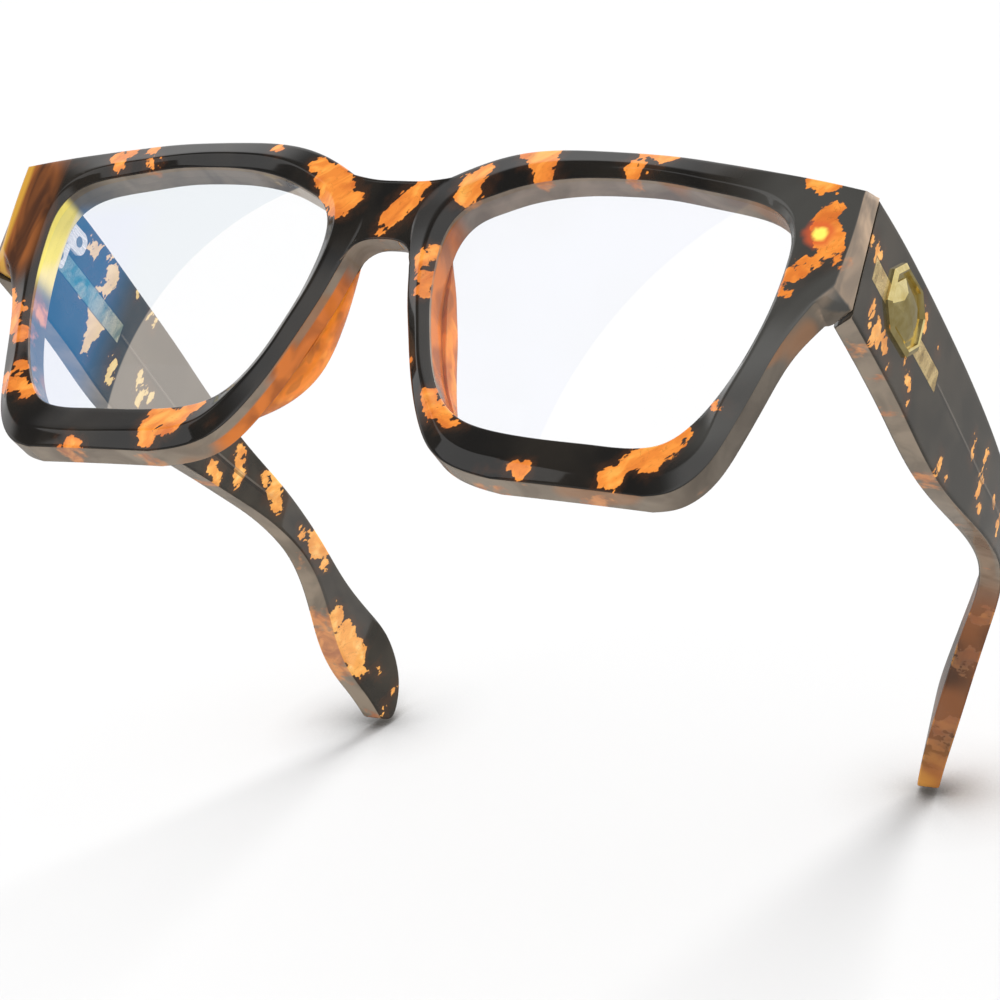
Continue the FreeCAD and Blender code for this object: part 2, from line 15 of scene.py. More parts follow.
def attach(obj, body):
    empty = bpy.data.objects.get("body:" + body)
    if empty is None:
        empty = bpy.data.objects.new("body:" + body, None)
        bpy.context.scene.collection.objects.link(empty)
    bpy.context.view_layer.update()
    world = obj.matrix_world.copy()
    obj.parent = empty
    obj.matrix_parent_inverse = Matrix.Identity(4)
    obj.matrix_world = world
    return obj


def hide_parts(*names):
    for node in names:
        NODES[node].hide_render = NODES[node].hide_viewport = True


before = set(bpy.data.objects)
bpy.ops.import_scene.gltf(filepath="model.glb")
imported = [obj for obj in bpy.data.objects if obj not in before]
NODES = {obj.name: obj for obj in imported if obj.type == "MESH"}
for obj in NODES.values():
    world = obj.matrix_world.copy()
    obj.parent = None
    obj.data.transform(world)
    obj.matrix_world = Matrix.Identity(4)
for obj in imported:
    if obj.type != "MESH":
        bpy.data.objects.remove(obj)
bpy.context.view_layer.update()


# ----------------------------------------------------------------- dimensions
MM = 0.001
FRAME_Z = 3.85            # height of the outlines' zero line
WRAP = 0.96e-3            # the front surface is y = WRAP * x * x
FRONT_THICK = 6.5
APERTURE_SETBACK = 1.3    # front edge of the aperture, behind the front surface
END_Y = 7.75              # where the endpiece reaches its full outline
MITRE_OUT = (74.5, 7.8)   # (x, y) ends of the mitre behind each endpiece
MITRE_IN = (70.3, 11.55)
REST_Z = -32.95           # lowest outline height of the rims
FRONT_EDGE = 0.32         # rounding of the outer edges, front and back
BACK_EDGE = 0.26
SAMPLES = 8               # samples per span of a rim outline

# Rim outlines of the +X side as (x, z), clockwise seen from the front with +X to the right.
# The three have matching points.
APERTURE = [
    (10.2, 6.0), (10.9, 9.0), (12.8, 11.8), (16.3, 13.9), (19.8, 15.5),
    (24.0, 16.8), (30.0, 17.8), (36.2, 18.1), (42.5, 18.0), (49.0, 17.2),
    (55.5, 16.3), (59.5, 15.2), (62.3, 13.2), (63.75, 10.2), (63.95, 6.0),
    (63.4, -0.1), (62.5, -5.0), (60.9, -11.0), (58.8, -16.5), (56.2, -21.2),
    (53.0, -24.4), (49.0, -25.65), (43.0, -25.85), (37.0, -25.85),
    (31.0, -25.65), (26.0, -25.1), (22.0, -24.0), (18.8, -21.9),
    (16.4, -18.8), (14.5, -15.0), (12.8, -10.2), (11.2, -4.6), (10.4, 0.3)]
RIDGE = [
    (8.3, 6.6), (9.2, 10.5), (11.4, 13.6), (15.2, 16.0), (19.0, 17.8),
    (23.6, 19.1), (30.0, 19.8), (36.2, 19.95), (42.8, 19.6), (49.2, 18.9),
    (55.8, 18.0), (60.3, 16.5), (63.3, 13.9), (64.65, 10.5), (64.75, 6.0),
    (64.3, -0.3), (63.4, -5.3), (61.9, -11.6), (60.2, -18.2), (58.9, -24.9),
    (55.0, -29.1), (49.4, -30.4), (43.0, -30.7), (37.0, -30.5),
    (30.6, -30.2), (25.2, -29.5), (20.7, -27.4), (17.4, -23.4),
    (14.8, -19.2), (12.9, -15.2), (11.2, -10.0), (9.6, -4.6), (8.6, 0.6)]
OUTER = [
    (4.5, 7.2), (5.3, 12.6), (8.4, 16.8), (13.0, 19.4), (18.2, 21.4),
    (23.5, 22.4), (30.0, 22.75), (36.2, 22.8), (43.0, 22.7), (50.0, 22.2),
    (58.0, 21.3), (66.0, 20.3), (74.5, 19.2), (74.5, 11.0), (74.5, 0.6),
    (69.7, -0.4), (66.6, -5.8), (64.2, -13.5), (61.9, -22.0), (59.4, -28.2),
    (55.4, -32.0), (52.0, -32.95), (43.0, -32.95), (36.0, -32.95),
    (29.0, -32.95), (23.2, -31.8), (18.6, -29.4), (15.2, -25.0),
    (12.7, -20.0), (10.8, -15.2), (9.0, -10.0), (7.1, -4.0), (5.9, 0.8)]
# how far the front's outer edge lies behind the front surface, per OUTER point
OUTER_SETBACK = [1.3, 1.2, 1.2, 1.3, 1.3, 1.3, 1.3, 1.3, 1.3, 1.3,
                 1.0, 0.7, 0.2, 0.2, 0.2, 0.5, 1.0, 1.3, 1.3, 1.3,
                 1.3, 1.3, 1.3, 1.3, 1.3, 1.3, 1.3, 1.4, 1.5, 1.5,
                 1.5, 1.4, 1.3]
# the endpiece is narrower at the front surface
OUTER_FRONT = list(OUTER)
OUTER_FRONT[12:16] = [(73.1, 19.05), (72.85, 11.0), (72.0, 3.3), (69.4, -0.1)]
CORNERS = [2, 12, 14, 15, 21, 24]     # OUTER points where the outline has a corner

# The bridge, (x, z) from +X to -X. It joins the rims at OUTER points JOIN_TOP and JOIN_LOW.
JOIN_TOP, JOIN_LOW = 2, 32
BRIDGE_TOP = [(8.4, 16.8), (4.2, 16.055), (0, 15.95), (-4.2, 16.055), (-8.4, 16.8)]
BRIDGE_Y = 1.25           # y of its front face in the middle
ARCH_BACK_LIFT = 0.83     # the arch is this much higher at the back

# Temple outer face seen from above (x, y), and the thickness at each point
TEMPLE_OUT = [
    (74.5, 7.0), (75.15, 20.0), (76.0, 35.0), (76.8, 50.0), (77.4, 65.0),
    (77.7, 77.0), (77.4, 87.0), (76.4, 96.0), (74.6, 104.0),
    (72.1, 112.0), (69.4, 118.6), (66.9, 124.0), (64.2, 130.0),
    (61.4, 137.0), (59.2, 143.0), (57.2, 149.0)]
TEMPLE_THICK = [4.0] * 9 + [4.05, 4.2, 4.3, 4.35, 4.3, 4.0, 3.6]
# Temple side outline (y, z): top edge towards the tip, then bottom edge back to the hinge
TEMPLE_TOP = [
    (6.0, 18.95), (19.4, 19.4), (32.7, 19.0), (46.0, 18.2), (63.0, 16.9),
    (77.0, 15.3), (91.8, 13.4), (100.0, 12.0), (107.5, 10.1),
    (113.5, 7.5), (118.5, 4.5), (123.0, 1.4), (127.4, -1.0),
    (132.5, -2.9), (137.0, -4.6), (140.9, -7.4), (144.0, -11.2),
    (145.6, -15.8), (145.2, -19.6), (142.6, -20.9)]
TEMPLE_LOW = [
    (142.6, -20.9), (137.5, -18.5), (133.3, -16.8), (129.0, -14.0),
    (124.0, -8.2), (119.5, -2.8), (115.0, 0.6), (110.0, 2.3),
    (104.0, 3.0), (96.0, 2.7), (86.2, 1.6), (78.0, 0.3), (71.4, -0.8),
    (62.0, -2.2), (51.0, -3.0), (42.0, -2.5), (33.0, -1.5),
    (19.0, -0.6), (6.0, -0.25)]
TEMPLE_START_Y = 7.86
TEMPLE_EDGE = 0.42        # rounding of the temple edges

# Nose pad sections: z, nasal x, crest x, crest y, lens-side x
PAD = [
    (6.5, 4.9, 7.9, 6.9, 9.9), (4.0, 5.2, 8.5, 8.9, 10.3),
    (1.5, 5.7, 9.1, 10.7, 10.8), (-2.0, 6.5, 9.7, 12.5, 11.4),
    (-6.0, 7.6, 10.3, 13.7, 12.4), (-10.0, 8.7, 11.0, 14.1, 13.4),
    (-14.0, 10.2, 12.2, 13.7, 14.7), (-18.0, 12.0, 14.1, 12.3, 16.4),
    (-21.5, 13.8, 16.0, 10.0, 18.3), (-24.5, 15.5, 17.6, 7.4, 19.6)]
PAD_BASE_Y = 4.2

LENS_RADIUS = 200.0
LENS_THICK = 1.8
LENS_X = 37.1             # middle of a lens
LENS_SETBACK = 0.9        # front of the lens behind the front surface
LENS_OVERLAP = 0.5        # how far the lens runs into the rim

# Plaque on each temple: y and z range, corner cut
PLAQUE_Y = (17.8, 32.8)
PLAQUE_Z = (5.1, 16.8)
PLAQUE_CUT = 3.6


# ---------------------------------------------------------------- curve tools
def second_derivatives(steps, points, closed):
    """Second derivatives of a cubic spline; a closed one repeats its first point."""
    size = len(points) - 1 if closed else len(points)
    slopes = np.diff(points, axis=0) / steps[:, None]
    matrix = np.zeros((size, size))
    known = np.zeros((size, points.shape[1]))
    for i in range(size) if closed else range(1, size - 1):
        matrix[i, (i - 1) % size] += steps[i - 1]
        matrix[i, i] += 2 * (steps[i - 1] + steps[i])
        matrix[i, (i + 1) % size] += steps[i]
        known[i] = 6 * (slopes[i] - slopes[i - 1])
    if not closed:
        matrix[0, 0] = matrix[-1, -1] = 1.0
        return np.linalg.solve(matrix, known)
    bends = np.linalg.solve(matrix, known)
    return np.vstack([bends, bends[:1]])


def spline(points, samples, closed=False):
    """A cubic spline through the points, with a number of samples per span."""
    points = np.asarray(points, float)
    if closed:
        points = np.vstack([points, points[:1]])
    lengths = np.linalg.norm(np.diff(points, axis=0), axis=1)
    steps = np.diff(np.concatenate([[0], np.cumsum(lengths)]))
    bends = second_derivatives(steps, points, closed)
    curve = []
    for i, step in enumerate(steps):
        for k in range(samples):
            done = k / samples * step
            left = step - done
            curve.append(bends[i] * left ** 3 / (6 * step)
                         + bends[i + 1] * done ** 3 / (6 * step)
                         + (points[i] / step - bends[i] * step / 6) * left
                         + (points[i + 1] / step - bends[i + 1] * step / 6) * done)
    if not closed:
        curve.append(points[-1])
    return np.array(curve)


def outer_loop(points):
    """Closed outline with sharp CORNERS, kept above REST_Z."""
    count = len(points)
    loop = np.empty((count * SAMPLES, 2))
    for first, last in zip(CORNERS, CORNERS[1:] + CORNERS[:1]):
        span = (last - first) % count
        curve = spline([points[(first + i) % count] for i in range(span + 1)], SAMPLES)
        for j, point in enumerate(curve[:-1]):
            loop[(first * SAMPLES + j) % len(loop)] = point
    loop[:, 1] = np.maximum(loop[:, 1], REST_Z)
    return loop


def resample(points, count):
    """Points at equal distances along a polyline."""
    lengths = np.linalg.norm(np.diff(points, axis=0), axis=1)
    along = np.concatenate([[0], np.cumsum(lengths)])
    places = np.linspace(0, along[-1], count)
    return np.stack([np.interp(places, along, column) for column in points.T], 1)


def bezier(start, peak, end, steps=3):
    """Rows rounding the edge at peak, from start to end."""
    rows = []
    for k in range(steps + 1):
        t = k / steps
        rows.append((1 - t) ** 2 * start + 2 * t * (1 - t) * peak + t * t * end)
    return rows


def corner_rows(before, peak, after, radius, steps=3):
    """Rounded corner at peak, between the directions to before and after."""
    to_before, to_after = before - peak, after - peak
    before_len = np.linalg.norm(to_before, axis=-1, keepdims=True) + 1e-9
    after_len = np.linalg.norm(to_after, axis=-1, keepdims=True) + 1e-9
    radius = np.minimum(radius, 0.4 * np.minimum(before_len, after_len))
    start = peak + to_before / before_len * radius
    end = peak + to_after / after_len * radius
    return bezier(start, peak, end, steps)


def between(first, last, steps):
    """The rows strictly between two rows."""
    return [first + (last - first) * k / steps for k in range(1, steps)]


def wrap_y(x):
    """Front surface of the frame."""
    return WRAP * x * x


def back_y(x):
    """Back surface of the frame, cut by the mitre at the endpieces."""
    slope = (MITRE_IN[1] - MITRE_OUT[1])
    mitre = MITRE_OUT[1] + (MITRE_OUT[0] - np.abs(x)) * slope / (MITRE_OUT[0] - MITRE_IN[0])
    return np.minimum(wrap_y(x) + FRONT_THICK, mitre)


def place(outline, depth, side=1):
    """Put an (x, z) outline at y = depth(x) on its side."""
    x = side * outline[:, 0]
    return np.stack([x, depth(x), outline[:, 1] + FRAME_Z], 1)


class Build:
    """Collects faces by position, welds equal corners and makes the mesh object."""

    def __init__(self):
        self.index = {}
        self.verts = []
        self.faces = []
        self.materials = []

    def vertex(self, point):
        key = tuple(round(value * 2000) for value in point)
        if key not in self.index:
            self.index[key] = len(self.verts)
            self.verts.append(tuple(point))
        return self.index[key]

    def face(self, ids, material):
        unique = list(dict.fromkeys(ids))
        if len(unique) > 2:
            self.faces.append(unique)
            self.materials.append(material)

    def grid(self, rows, wrap=False, material=0):
        ids = [[self.vertex(point) for point in row] for row in rows]
        for low, high in zip(ids, ids[1:]):
            count = len(low)
            for k in range(count if wrap else count - 1):
                j = (k + 1) % count
                self.face([low[k], low[j], high[j], high[k]], material)

    def polygon(self, points):
        self.face([self.vertex(point) for point in points], 0)

    def make(self, name):
        mesh = bpy.data.meshes.new(name)
        verts = np.array(self.verts) * MM
        mesh.from_pydata([tuple(vert) for vert in verts], [], self.faces)
        mesh.polygons.foreach_set("material_index", self.materials)
        mesh.update()
        work = bmesh.new()
        work.from_mesh(mesh)
        bmesh.ops.remove_doubles(work, verts=work.verts, dist=2e-6)
        bmesh.ops.dissolve_degenerate(work, dist=1e-7, edges=work.edges)
        bmesh.ops.recalc_face_normals(work, faces=work.faces)
        if work.calc_volume(signed=True) < 0:
            bmesh.ops.reverse_faces(work, faces=work.faces)
        for face in work.faces:
            face.smooth = True
        work.to_mesh(mesh)
        work.free()
        obj = bpy.data.objects.new(name, mesh)
        bpy.context.scene.collection.objects.link(obj)
        return obj


# --------------------------------------------------------------- shader tools
class Signal:
    """A shader output that takes arithmetic: each operation adds one node."""

    def __init__(self, net, socket):
        self.net = net
        self.socket = socket

    def __add__(self, other):
        return self.net.math("ADD", self, other)

    def __sub__(self, other):
        return self.net.math("SUBTRACT", self, other)

    def __rsub__(self, other):
        return self.net.math("SUBTRACT", other, self)

    def __mul__(self, other):
        return self.net.math("MULTIPLY", self, other)

    def __abs__(self):
        return self.net.math("ABSOLUTE", self)

    def max(self, other):
        return self.net.math("MAXIMUM", self, other)

    def ramp(self, start, end, low=0.0, high=1.0, smooth=True):
        """Goes from low to high as the value goes from start to end."""
        return self.net.node(
            "MapRange",
            {"Value": self, "From Min": start, "From Max": end, "To Min": low, "To Max": high},
            "Result", interpolation_type="SMOOTHSTEP" if smooth else "LINEAR")


class Net:
    """The node tree of one material or world. Texture places are in mm."""

    def __init__(self, tree):
        self.tree = tree
        tree.nodes.clear()

    def put(self, socket, value):
        if isinstance(value, Signal):
            self.tree.links.new(value.socket, socket)
        elif socket.type == "RGBA":
            socket.default_value = (*value[:3], 1.0)
        else:
            socket.default_value = value

    def node(self, kind, inputs=None, output=0, **settings):
        """Add a node and return one output, or a list when output is a tuple."""
        node = self.tree.nodes.new("ShaderNode" + kind)
        for key, value in settings.items():
            setattr(node, key, value)
        for key, value in (inputs or {}).items():
            self.put(node.inputs[key], value)
        if isinstance(output, tuple):
            return [Signal(self, node.outputs[key]) for key in output]
        return Signal(self, node.outputs[output])

    def surface(self, shader, kind="Material"):
        node = self.tree.nodes.new("ShaderNodeOutput" + kind)
        self.put(node.inputs["Surface"], shader)

    def math(self, operation, first, second=0.0, third=None, clamp=False):
        inputs = {0: first, 1: second}
        if third is not None:
            inputs[2] = third
        return self.node("Math", inputs, operation=operation, use_clamp=clamp)

    def mix(self, amount, first, second):
        """Mix two colours."""
        return self.node("Mix", {0: amount, 6: first, 7: second}, 2, data_type="RGBA")

    def mix_number(self, amount, first, second):
        return self.node("Mix", {0: amount, 2: first, 3: second}, data_type="FLOAT")

    def xyz(self, vector):
        return self.node("SeparateXYZ", {0: vector}, (0, 1, 2))

    def normal(self):
        return self.xyz(self.node("TexCoord", output="Normal"))

    def coords(self, stretch=(1, 1, 1), scale=1000.0):
        where = self.node("TexCoord", output="Object")
        return self.node("Mapping", {"Scale": tuple(scale * part for part in stretch),
                                     "Vector": where})

    def streaks(self, turn, stretch):
        """Turned coordinates that draw textures out into streaks."""
        where = self.node("TexCoord", output="Object")
        return self.node("Mapping", {"Scale": tuple(0.001 * part for part in stretch),
                                     "Rotation": turn, "Vector": where}, vector_type="TEXTURE")

    def noise(self, where, scale, detail=2.0, rough=0.5, warp=0.0):
        return self.node("TexNoise", {"Scale": scale, "Detail": detail, "Roughness": rough,
                                      "Distortion": warp, "Vector": where}, "Fac")

    def wander(self, value, noise, amount):
        """Shift a value by noise centred on zero."""
        return self.math("MULTIPLY_ADD", noise - 0.5, amount, value)

    def lines(self, value, repeats, start, end):
        """0 on evenly spaced contour lines of a value, 1 away from them."""
        return abs(self.math("FRACT", value * repeats) - 0.5).ramp(start, end)

    def distance(self, x, z, centre):
        across = x - centre[0]
        upward = z - centre[1]
        return self.math("SQRT", across * across + upward * upward)

    def bump(self, height, strength, distance):
        return self.node("Bump", {"Strength": strength, "Distance": distance, "Height": height})


def material(name):
    mat = bpy.data.materials.new(name)
    mat.use_nodes = True
    return mat, Net(mat.node_tree)


# -------------------------------------------------------------------- acetate
def flake_pattern(net, where, streaks, deep, amber, yellow):
    """Ragged amber flakes around the mesh's "flake" depths, and their colour."""
    field = net.node("Attribute", output="Fac", attribute_name="flake")
    ragged = net.noise(where, 0.42, rough=0.55, warp=0.6)
    depth = net.wander(field, net.noise(streaks, 0.55, warp=0.4), 3.2)
    depth = net.wander(depth, ragged, 2.0)
    depth = net.wander(depth, net.noise(streaks, 2.2, 3.0, 0.6, 0.3), 1.1)
    mask = depth.ramp(-0.06, 0.10)
    soft = depth.ramp(-0.6, 0.6)
    halo = depth.ramp(-1.6, 0.0)

    # red-orange at the rim of a flake, amber then yellow inside, crossed by thin veins
    tone = net.noise(streaks, 0.42, 3.0, warp=0.6)
    broad = net.noise(where, 0.20, 1.0)
    inner = depth.ramp(0.0, 1.1)
    to_amber = (inner * 0.70).max(tone.ramp(0.30, 0.60, low=0.35))
    colour = net.mix(to_amber, deep, amber)
    colour = net.mix((tone.ramp(0.48, 0.66) * inner) * 0.7, colour, yellow)
    colour = net.mix(broad.ramp(0.52, 0.64) * 0.5, colour, deep)
    vein_noise = net.noise(streaks, 0.7, warp=1.0)
    vein = abs(vein_noise - 0.5).ramp(0.0, 0.012, low=1.0, high=0.0)
    colour = net.mix(vein * 0.28, colour, (0.20, 0.055, 0.015))
    return SimpleNamespace(mask=mask, soft=soft, halo=halo, tone=tone, ragged=ragged,
                           colour=colour)


def dark_sheet(net, where, halo, dark, light):
    """Clouded dark ground, a little browner around the flakes."""
    cloud = net.noise(where, 0.09, warp=0.5)
    base = net.mix(cloud.ramp(0.35, 0.68), dark, light)
    return net.mix(halo * 0.22, base, (0.17, 0.060, 0.022))


def wall_noise(net):
    return net.noise(net.coords((0.35, 0.35, 0.35)), 0.35, 3.0, warp=0.8)


def wall_flakes(net, flakes, wall_colour):
    """Flakes where they come out in the cut edges."""
    colour = net.mix(flakes.tone.ramp(0.35, 0.65), (0.50, 0.19, 0.09), (0.85, 0.36, 0.13))
    return net.mix(flakes.soft * 0.85, wall_colour, colour)


def polish(net, where, colour, wall, core, glow, metallic=0.0):
    """Polished faces, duller cut edges, and a glow of light through the amber parts."""
    face_rough = net.noise(where, 0.6).ramp(0.3, 0.7, low=0.05, high=0.09)
    wall_rough = core.ramp(0.3, 0.7, low=0.12, high=0.20)
    net.surface(net.node("BsdfPrincipled", {
        "Base Color": colour,
        "IOR": 1.49,
        "Roughness": net.mix_number(wall, face_rough, wall_rough),
        "Metallic": metallic,
        "Coat Weight": 0.6,
        "Coat Roughness": 0.03,
        "Emission Color": colour,
        "Emission Strength": glow * 0.09,
        "Normal": net.bump(net.noise(where, 0.16, 1.0), strength=0.10, distance=0.00022)}))


def nasal_zone(net, x_abs, y, z, x, wall):
    """Walls in the nasal side of each rim that share the amber of the nose pads."""
    depth = y - (x * x) * WRAP
    behind = depth.ramp(3.15, 3.75) * x_abs.ramp(20.5, 17.5)
    behind = behind * z.ramp(6.5, 3.0)
    aperture = depth.ramp(1.6, 2.2) * (x_abs.ramp(9.6, 10.4) * x_abs.ramp(18.0, 15.0))
    aperture = aperture * z.ramp(15.0, 11.0)
    aperture = aperture * z.ramp(-17.0, -13.0)
    return behind.max(aperture) * wall


def front_walls(net, where, x_abs, core, end_face, flakes):
    """Taupe cut edges with painted shade towards the ends, tan patches and a warm +X end face."""
    colour = net.mix(core.ramp(0.3, 0.7), (0.200, 0.158, 0.118), (0.325, 0.265, 0.200))
    # painted shade: the walls darken towards the ends, standing in for dimmer reflections there
    painted_end_shade = x_abs.ramp(52.0, 61.0, low=1.0, high=0.50)
    colour = net.node("VectorMath", {0: colour, "Scale": painted_end_shade}, operation="SCALE")
    patch = net.noise(where, 0.075, 1.0).ramp(0.56, 0.64)
    colour = net.mix(patch * 0.55, colour, (0.40, 0.17, 0.06))
    end_noise = net.noise(net.coords((1, 1, 0.3)), 0.30, 3.0, warp=0.6)
    end_colour = net.mix(end_noise.ramp(0.34, 0.64), (0.235, 0.180, 0.132), (0.60, 0.42, 0.28))
    colour = net.mix(end_face * 0.95, colour, end_colour)
    return wall_flakes(net, flakes, colour)


def tortoise_front():
    mat, net = material("tortoise_front")
    normal_x, normal_y, _ = net.normal()
    where = net.coords()
    x, y, z = net.xyz(where)
    x_abs = abs(x)
    end_face = normal_x.ramp(0.30, 0.55) * x.ramp(69.0, 71.0)
    wall = abs(normal_y).ramp(0.50, 0.18).max(end_face)
    streaks = net.streaks(turn=(0, math.radians(-50), 0), stretch=(2.6, 1.6, 1.0))
    flakes = flake_pattern(net, where, streaks, deep=(0.62, 0.135, 0.024),
                           amber=(0.98, 0.320, 0.048), yellow=(1.0, 0.52, 0.105))
    base = dark_sheet(net, where, flakes.halo, dark=(0.0095, 0.0085, 0.0075),
                      light=(0.022, 0.018, 0.014))
    # painted reflection: a lighter grey sheen on the faces towards +X
    painted_sheen = x.ramp(50.0, 62.0) * net.noise(streaks, 0.14, 1.0).ramp(0.30, 0.62, low=0.35)
    base = net.mix(painted_sheen, base, (0.072, 0.070, 0.064))

    core = wall_noise(net)
    wall_colour = front_walls(net, where, x_abs, core, end_face, flakes)
    nasal = nasal_zone(net, x_abs, y, z, x, wall)
    pad_noise = net.noise(where, 0.16, warp=0.6)
    pad_colour = net.mix(pad_noise.ramp(0.34, 0.62), (0.42, 0.112, 0.016),
                         (0.74, 0.205, 0.026))
    wall_colour = net.mix(nasal, wall_colour, pad_colour)
    colour = net.mix(wall, net.mix(flakes.mask, base, flakes.colour), wall_colour)

    # reddish amber block in the -X endpiece, with a yellow line near its outer edge
    line_x, block_strength = -72.0, 1.0
    block = x.ramp(-63.4, -66.6) * z.ramp(-1.5, 6.0)
    block_noise = net.noise(net.coords((1, 1, 0.25)), 0.24, 3.0, warp=0.8)
    block_colour = net.mix(block_noise.ramp(0.36, 0.62), (0.085, 0.030, 0.013),
                           (0.40, 0.125, 0.030))
    line = abs(x + z * 0.02 - line_x).ramp(1.3, 0.3)
    block_colour = net.mix(line, block_colour, (0.80, 0.42, 0.055))
    keep = 1.0 - flakes.mask * 0.6
    colour = net.mix((block * block_strength) * (keep * 0.9), colour, block_colour)
    # yellow on the outer wall of the -X aperture
    yellow = x.ramp(-62.2, -63.2) * x.ramp(-66.5, -65.0)
    yellow = (yellow * z.ramp(-2.0, 4.0)) * (wall * normal_x.ramp(0.25, 0.60))
    colour = net.mix(yellow, colour, (0.86, 0.72, 0.16))
    # one bright bead of yellow in the +X endpiece, red around it
    bead = net.distance(x, z, centre=(68.2, 14.9))
    bead = net.wander(bead, flakes.ragged, 1.6)
    colour = net.mix(bead.ramp(3.0, 1.5) * 0.75, colour, (0.75, 0.12, 0.035))
    colour = net.mix(bead.ramp(1.5, 0.5), colour, (1.0, 0.80, 0.13))

    glow = (flakes.mask * (1.0 - wall)).max((nasal * 0.5).max(bead.ramp(1.6, 0.5) * 3.0))
    polish(net, where, colour, wall, core, glow=glow.max(yellow * 2.4))
    return mat


def core_seen(net, colour, inward, y, z, tone):
    """The metal core inside the temple, seen through the sheet.

    A rolled bronze strip, then a round wire. Returns the colour and how metallic it is.
    """
    strip_z = y.ramp(11.6, 43.0, low=9.9 + FRAME_Z, high=8.9 + FRAME_Z, smooth=False)
    off_strip = abs(z - strip_z)
    strip = off_strip.ramp(1.90, 1.75) * y.ramp(43.7, 43.3)
    strip = strip * y.ramp(11.3, 11.9)
    edge = off_strip.ramp(2.15, 1.95) * y.ramp(44.0, 43.6)
    edge = net.math("SUBTRACT", edge, strip, clamp=True) * y.ramp(11.0, 11.6)
    # worn hatch: wandering lines that cross each other
    hatch_noise = net.noise(net.coords((0.2, 1.0, 1.0)), 0.85, 3.0, 0.6, 2.2)
    hatch = net.lines(hatch_noise, repeats=9.0, start=0.06, end=0.16)
    bronze = net.mix(tone.ramp(0.35, 0.62), (0.46, 0.315, 0.120), (0.92, 0.68, 0.30))
    # painted reflection: on the inner face of the -X temple the strip takes the blue-green colour that the
    # coated lens in front of it gives
    painted_coating_amount = inward * y.ramp(40.0, 30.0, low=0.55)
    painted_coating = net.mix(tone.ramp(0.35, 0.62), (0.060, 0.300, 0.340), (0.36, 0.52, 0.50))
    bronze = net.mix(painted_coating_amount, bronze, painted_coating)
    bronze = net.mix(hatch, (0.055, 0.045, 0.028), bronze)
    colour = net.mix(strip * 0.92, colour, bronze)
    colour = net.mix(edge * 0.8, colour, (0.015, 0.012, 0.010))
    # the wire: a dark line of painted shade with a painted highlight above it
    wire_z = (y.ramp(43.0, 73.0, low=8.85 + FRAME_Z, high=6.8 + FRAME_Z, smooth=False)
              + y.ramp(73.0, 94.0, high=0.55, smooth=False))
    off_wire = z - wire_z
    run = y.ramp(43.6, 44.4) * y.ramp(106.0, 97.0)
    shade = abs(off_wire + 0.35).ramp(0.42, 0.22) * run
    shine = abs(off_wire - 0.22).ramp(0.30, 0.10) * run
    colour = net.mix(shade * 0.6, colour, (0.016, 0.013, 0.011))
    colour = net.mix(shine * 0.5, colour, (0.20, 0.175, 0.145))
    return colour, strip * 0.25


def tortoise_temple():
    mat, net = material("tortoise_temple")
    normal_x, _, _ = net.normal()
    wall = abs(normal_x).ramp(0.50, 0.18)
    where = net.coords()
    x, y, z = net.xyz(where)
    streaks = net.streaks(turn=(math.radians(62), 0, 0), stretch=(1.6, 2.6, 1.0))
    flakes = flake_pattern(net, where, streaks, deep=(0.70, 0.24, 0.050),
                           amber=(1.0, 0.46, 0.105), yellow=(1.0, 0.68, 0.26))
    base = dark_sheet(net, where, flakes.halo, dark=(0.030, 0.026, 0.020),
                      light=(0.058, 0.048, 0.036))
    core = wall_noise(net)
    wall_colour = net.mix(core.ramp(0.3, 0.7), (0.190, 0.155, 0.118), (0.330, 0.265, 0.198))
    wall_colour = wall_flakes(net, flakes, wall_colour)
    colour = net.mix(wall, net.mix(flakes.mask, base, flakes.colour), wall_colour)

    # cream flakes on the inner face of the -X temple, the one seen through the coated lens
    inward = x.ramp(0.0, -1.0) * normal_x.ramp(0.20, 0.60)
    cream = inward * y.ramp(78.0, 58.0)
    cream = (cream * flakes.mask) * (1.0 - wall)
    cream_colour = net.mix(flakes.tone, (0.62, 0.42, 0.12), (0.98, 0.80, 0.38))
    colour = net.mix(cream * 0.85, colour, cream_colour)
    colour, metallic = core_seen(net, colour, inward, y, z, flakes.tone)
    # the +X temple turns brown at the rear, then amber at the tip
    rear = y.ramp(96.0, 116.0) * x.ramp(0.0, 1.0)
    brown = net.mix(net.noise(where, 0.07, 1.0).ramp(0.40, 0.60), (0.075, 0.028, 0.011),
                    (0.25, 0.085, 0.026))
    colour = net.mix(rear * ((1.0 - flakes.mask * 0.25) * 0.92), colour, brown)
    tip = y.ramp(130.0, 146.0) * x.ramp(0.0, 1.0)
    amber = net.mix(net.noise(where, 0.12, 1.0).ramp(0.4, 0.6), (0.46, 0.15, 0.026),
                    (0.80, 0.36, 0.055))
    colour = net.mix(tip * 0.8, colour, amber)
    polish(net, where, colour, wall, core, glow=flakes.mask * (1.0 - wall), metallic=metallic)
    return mat


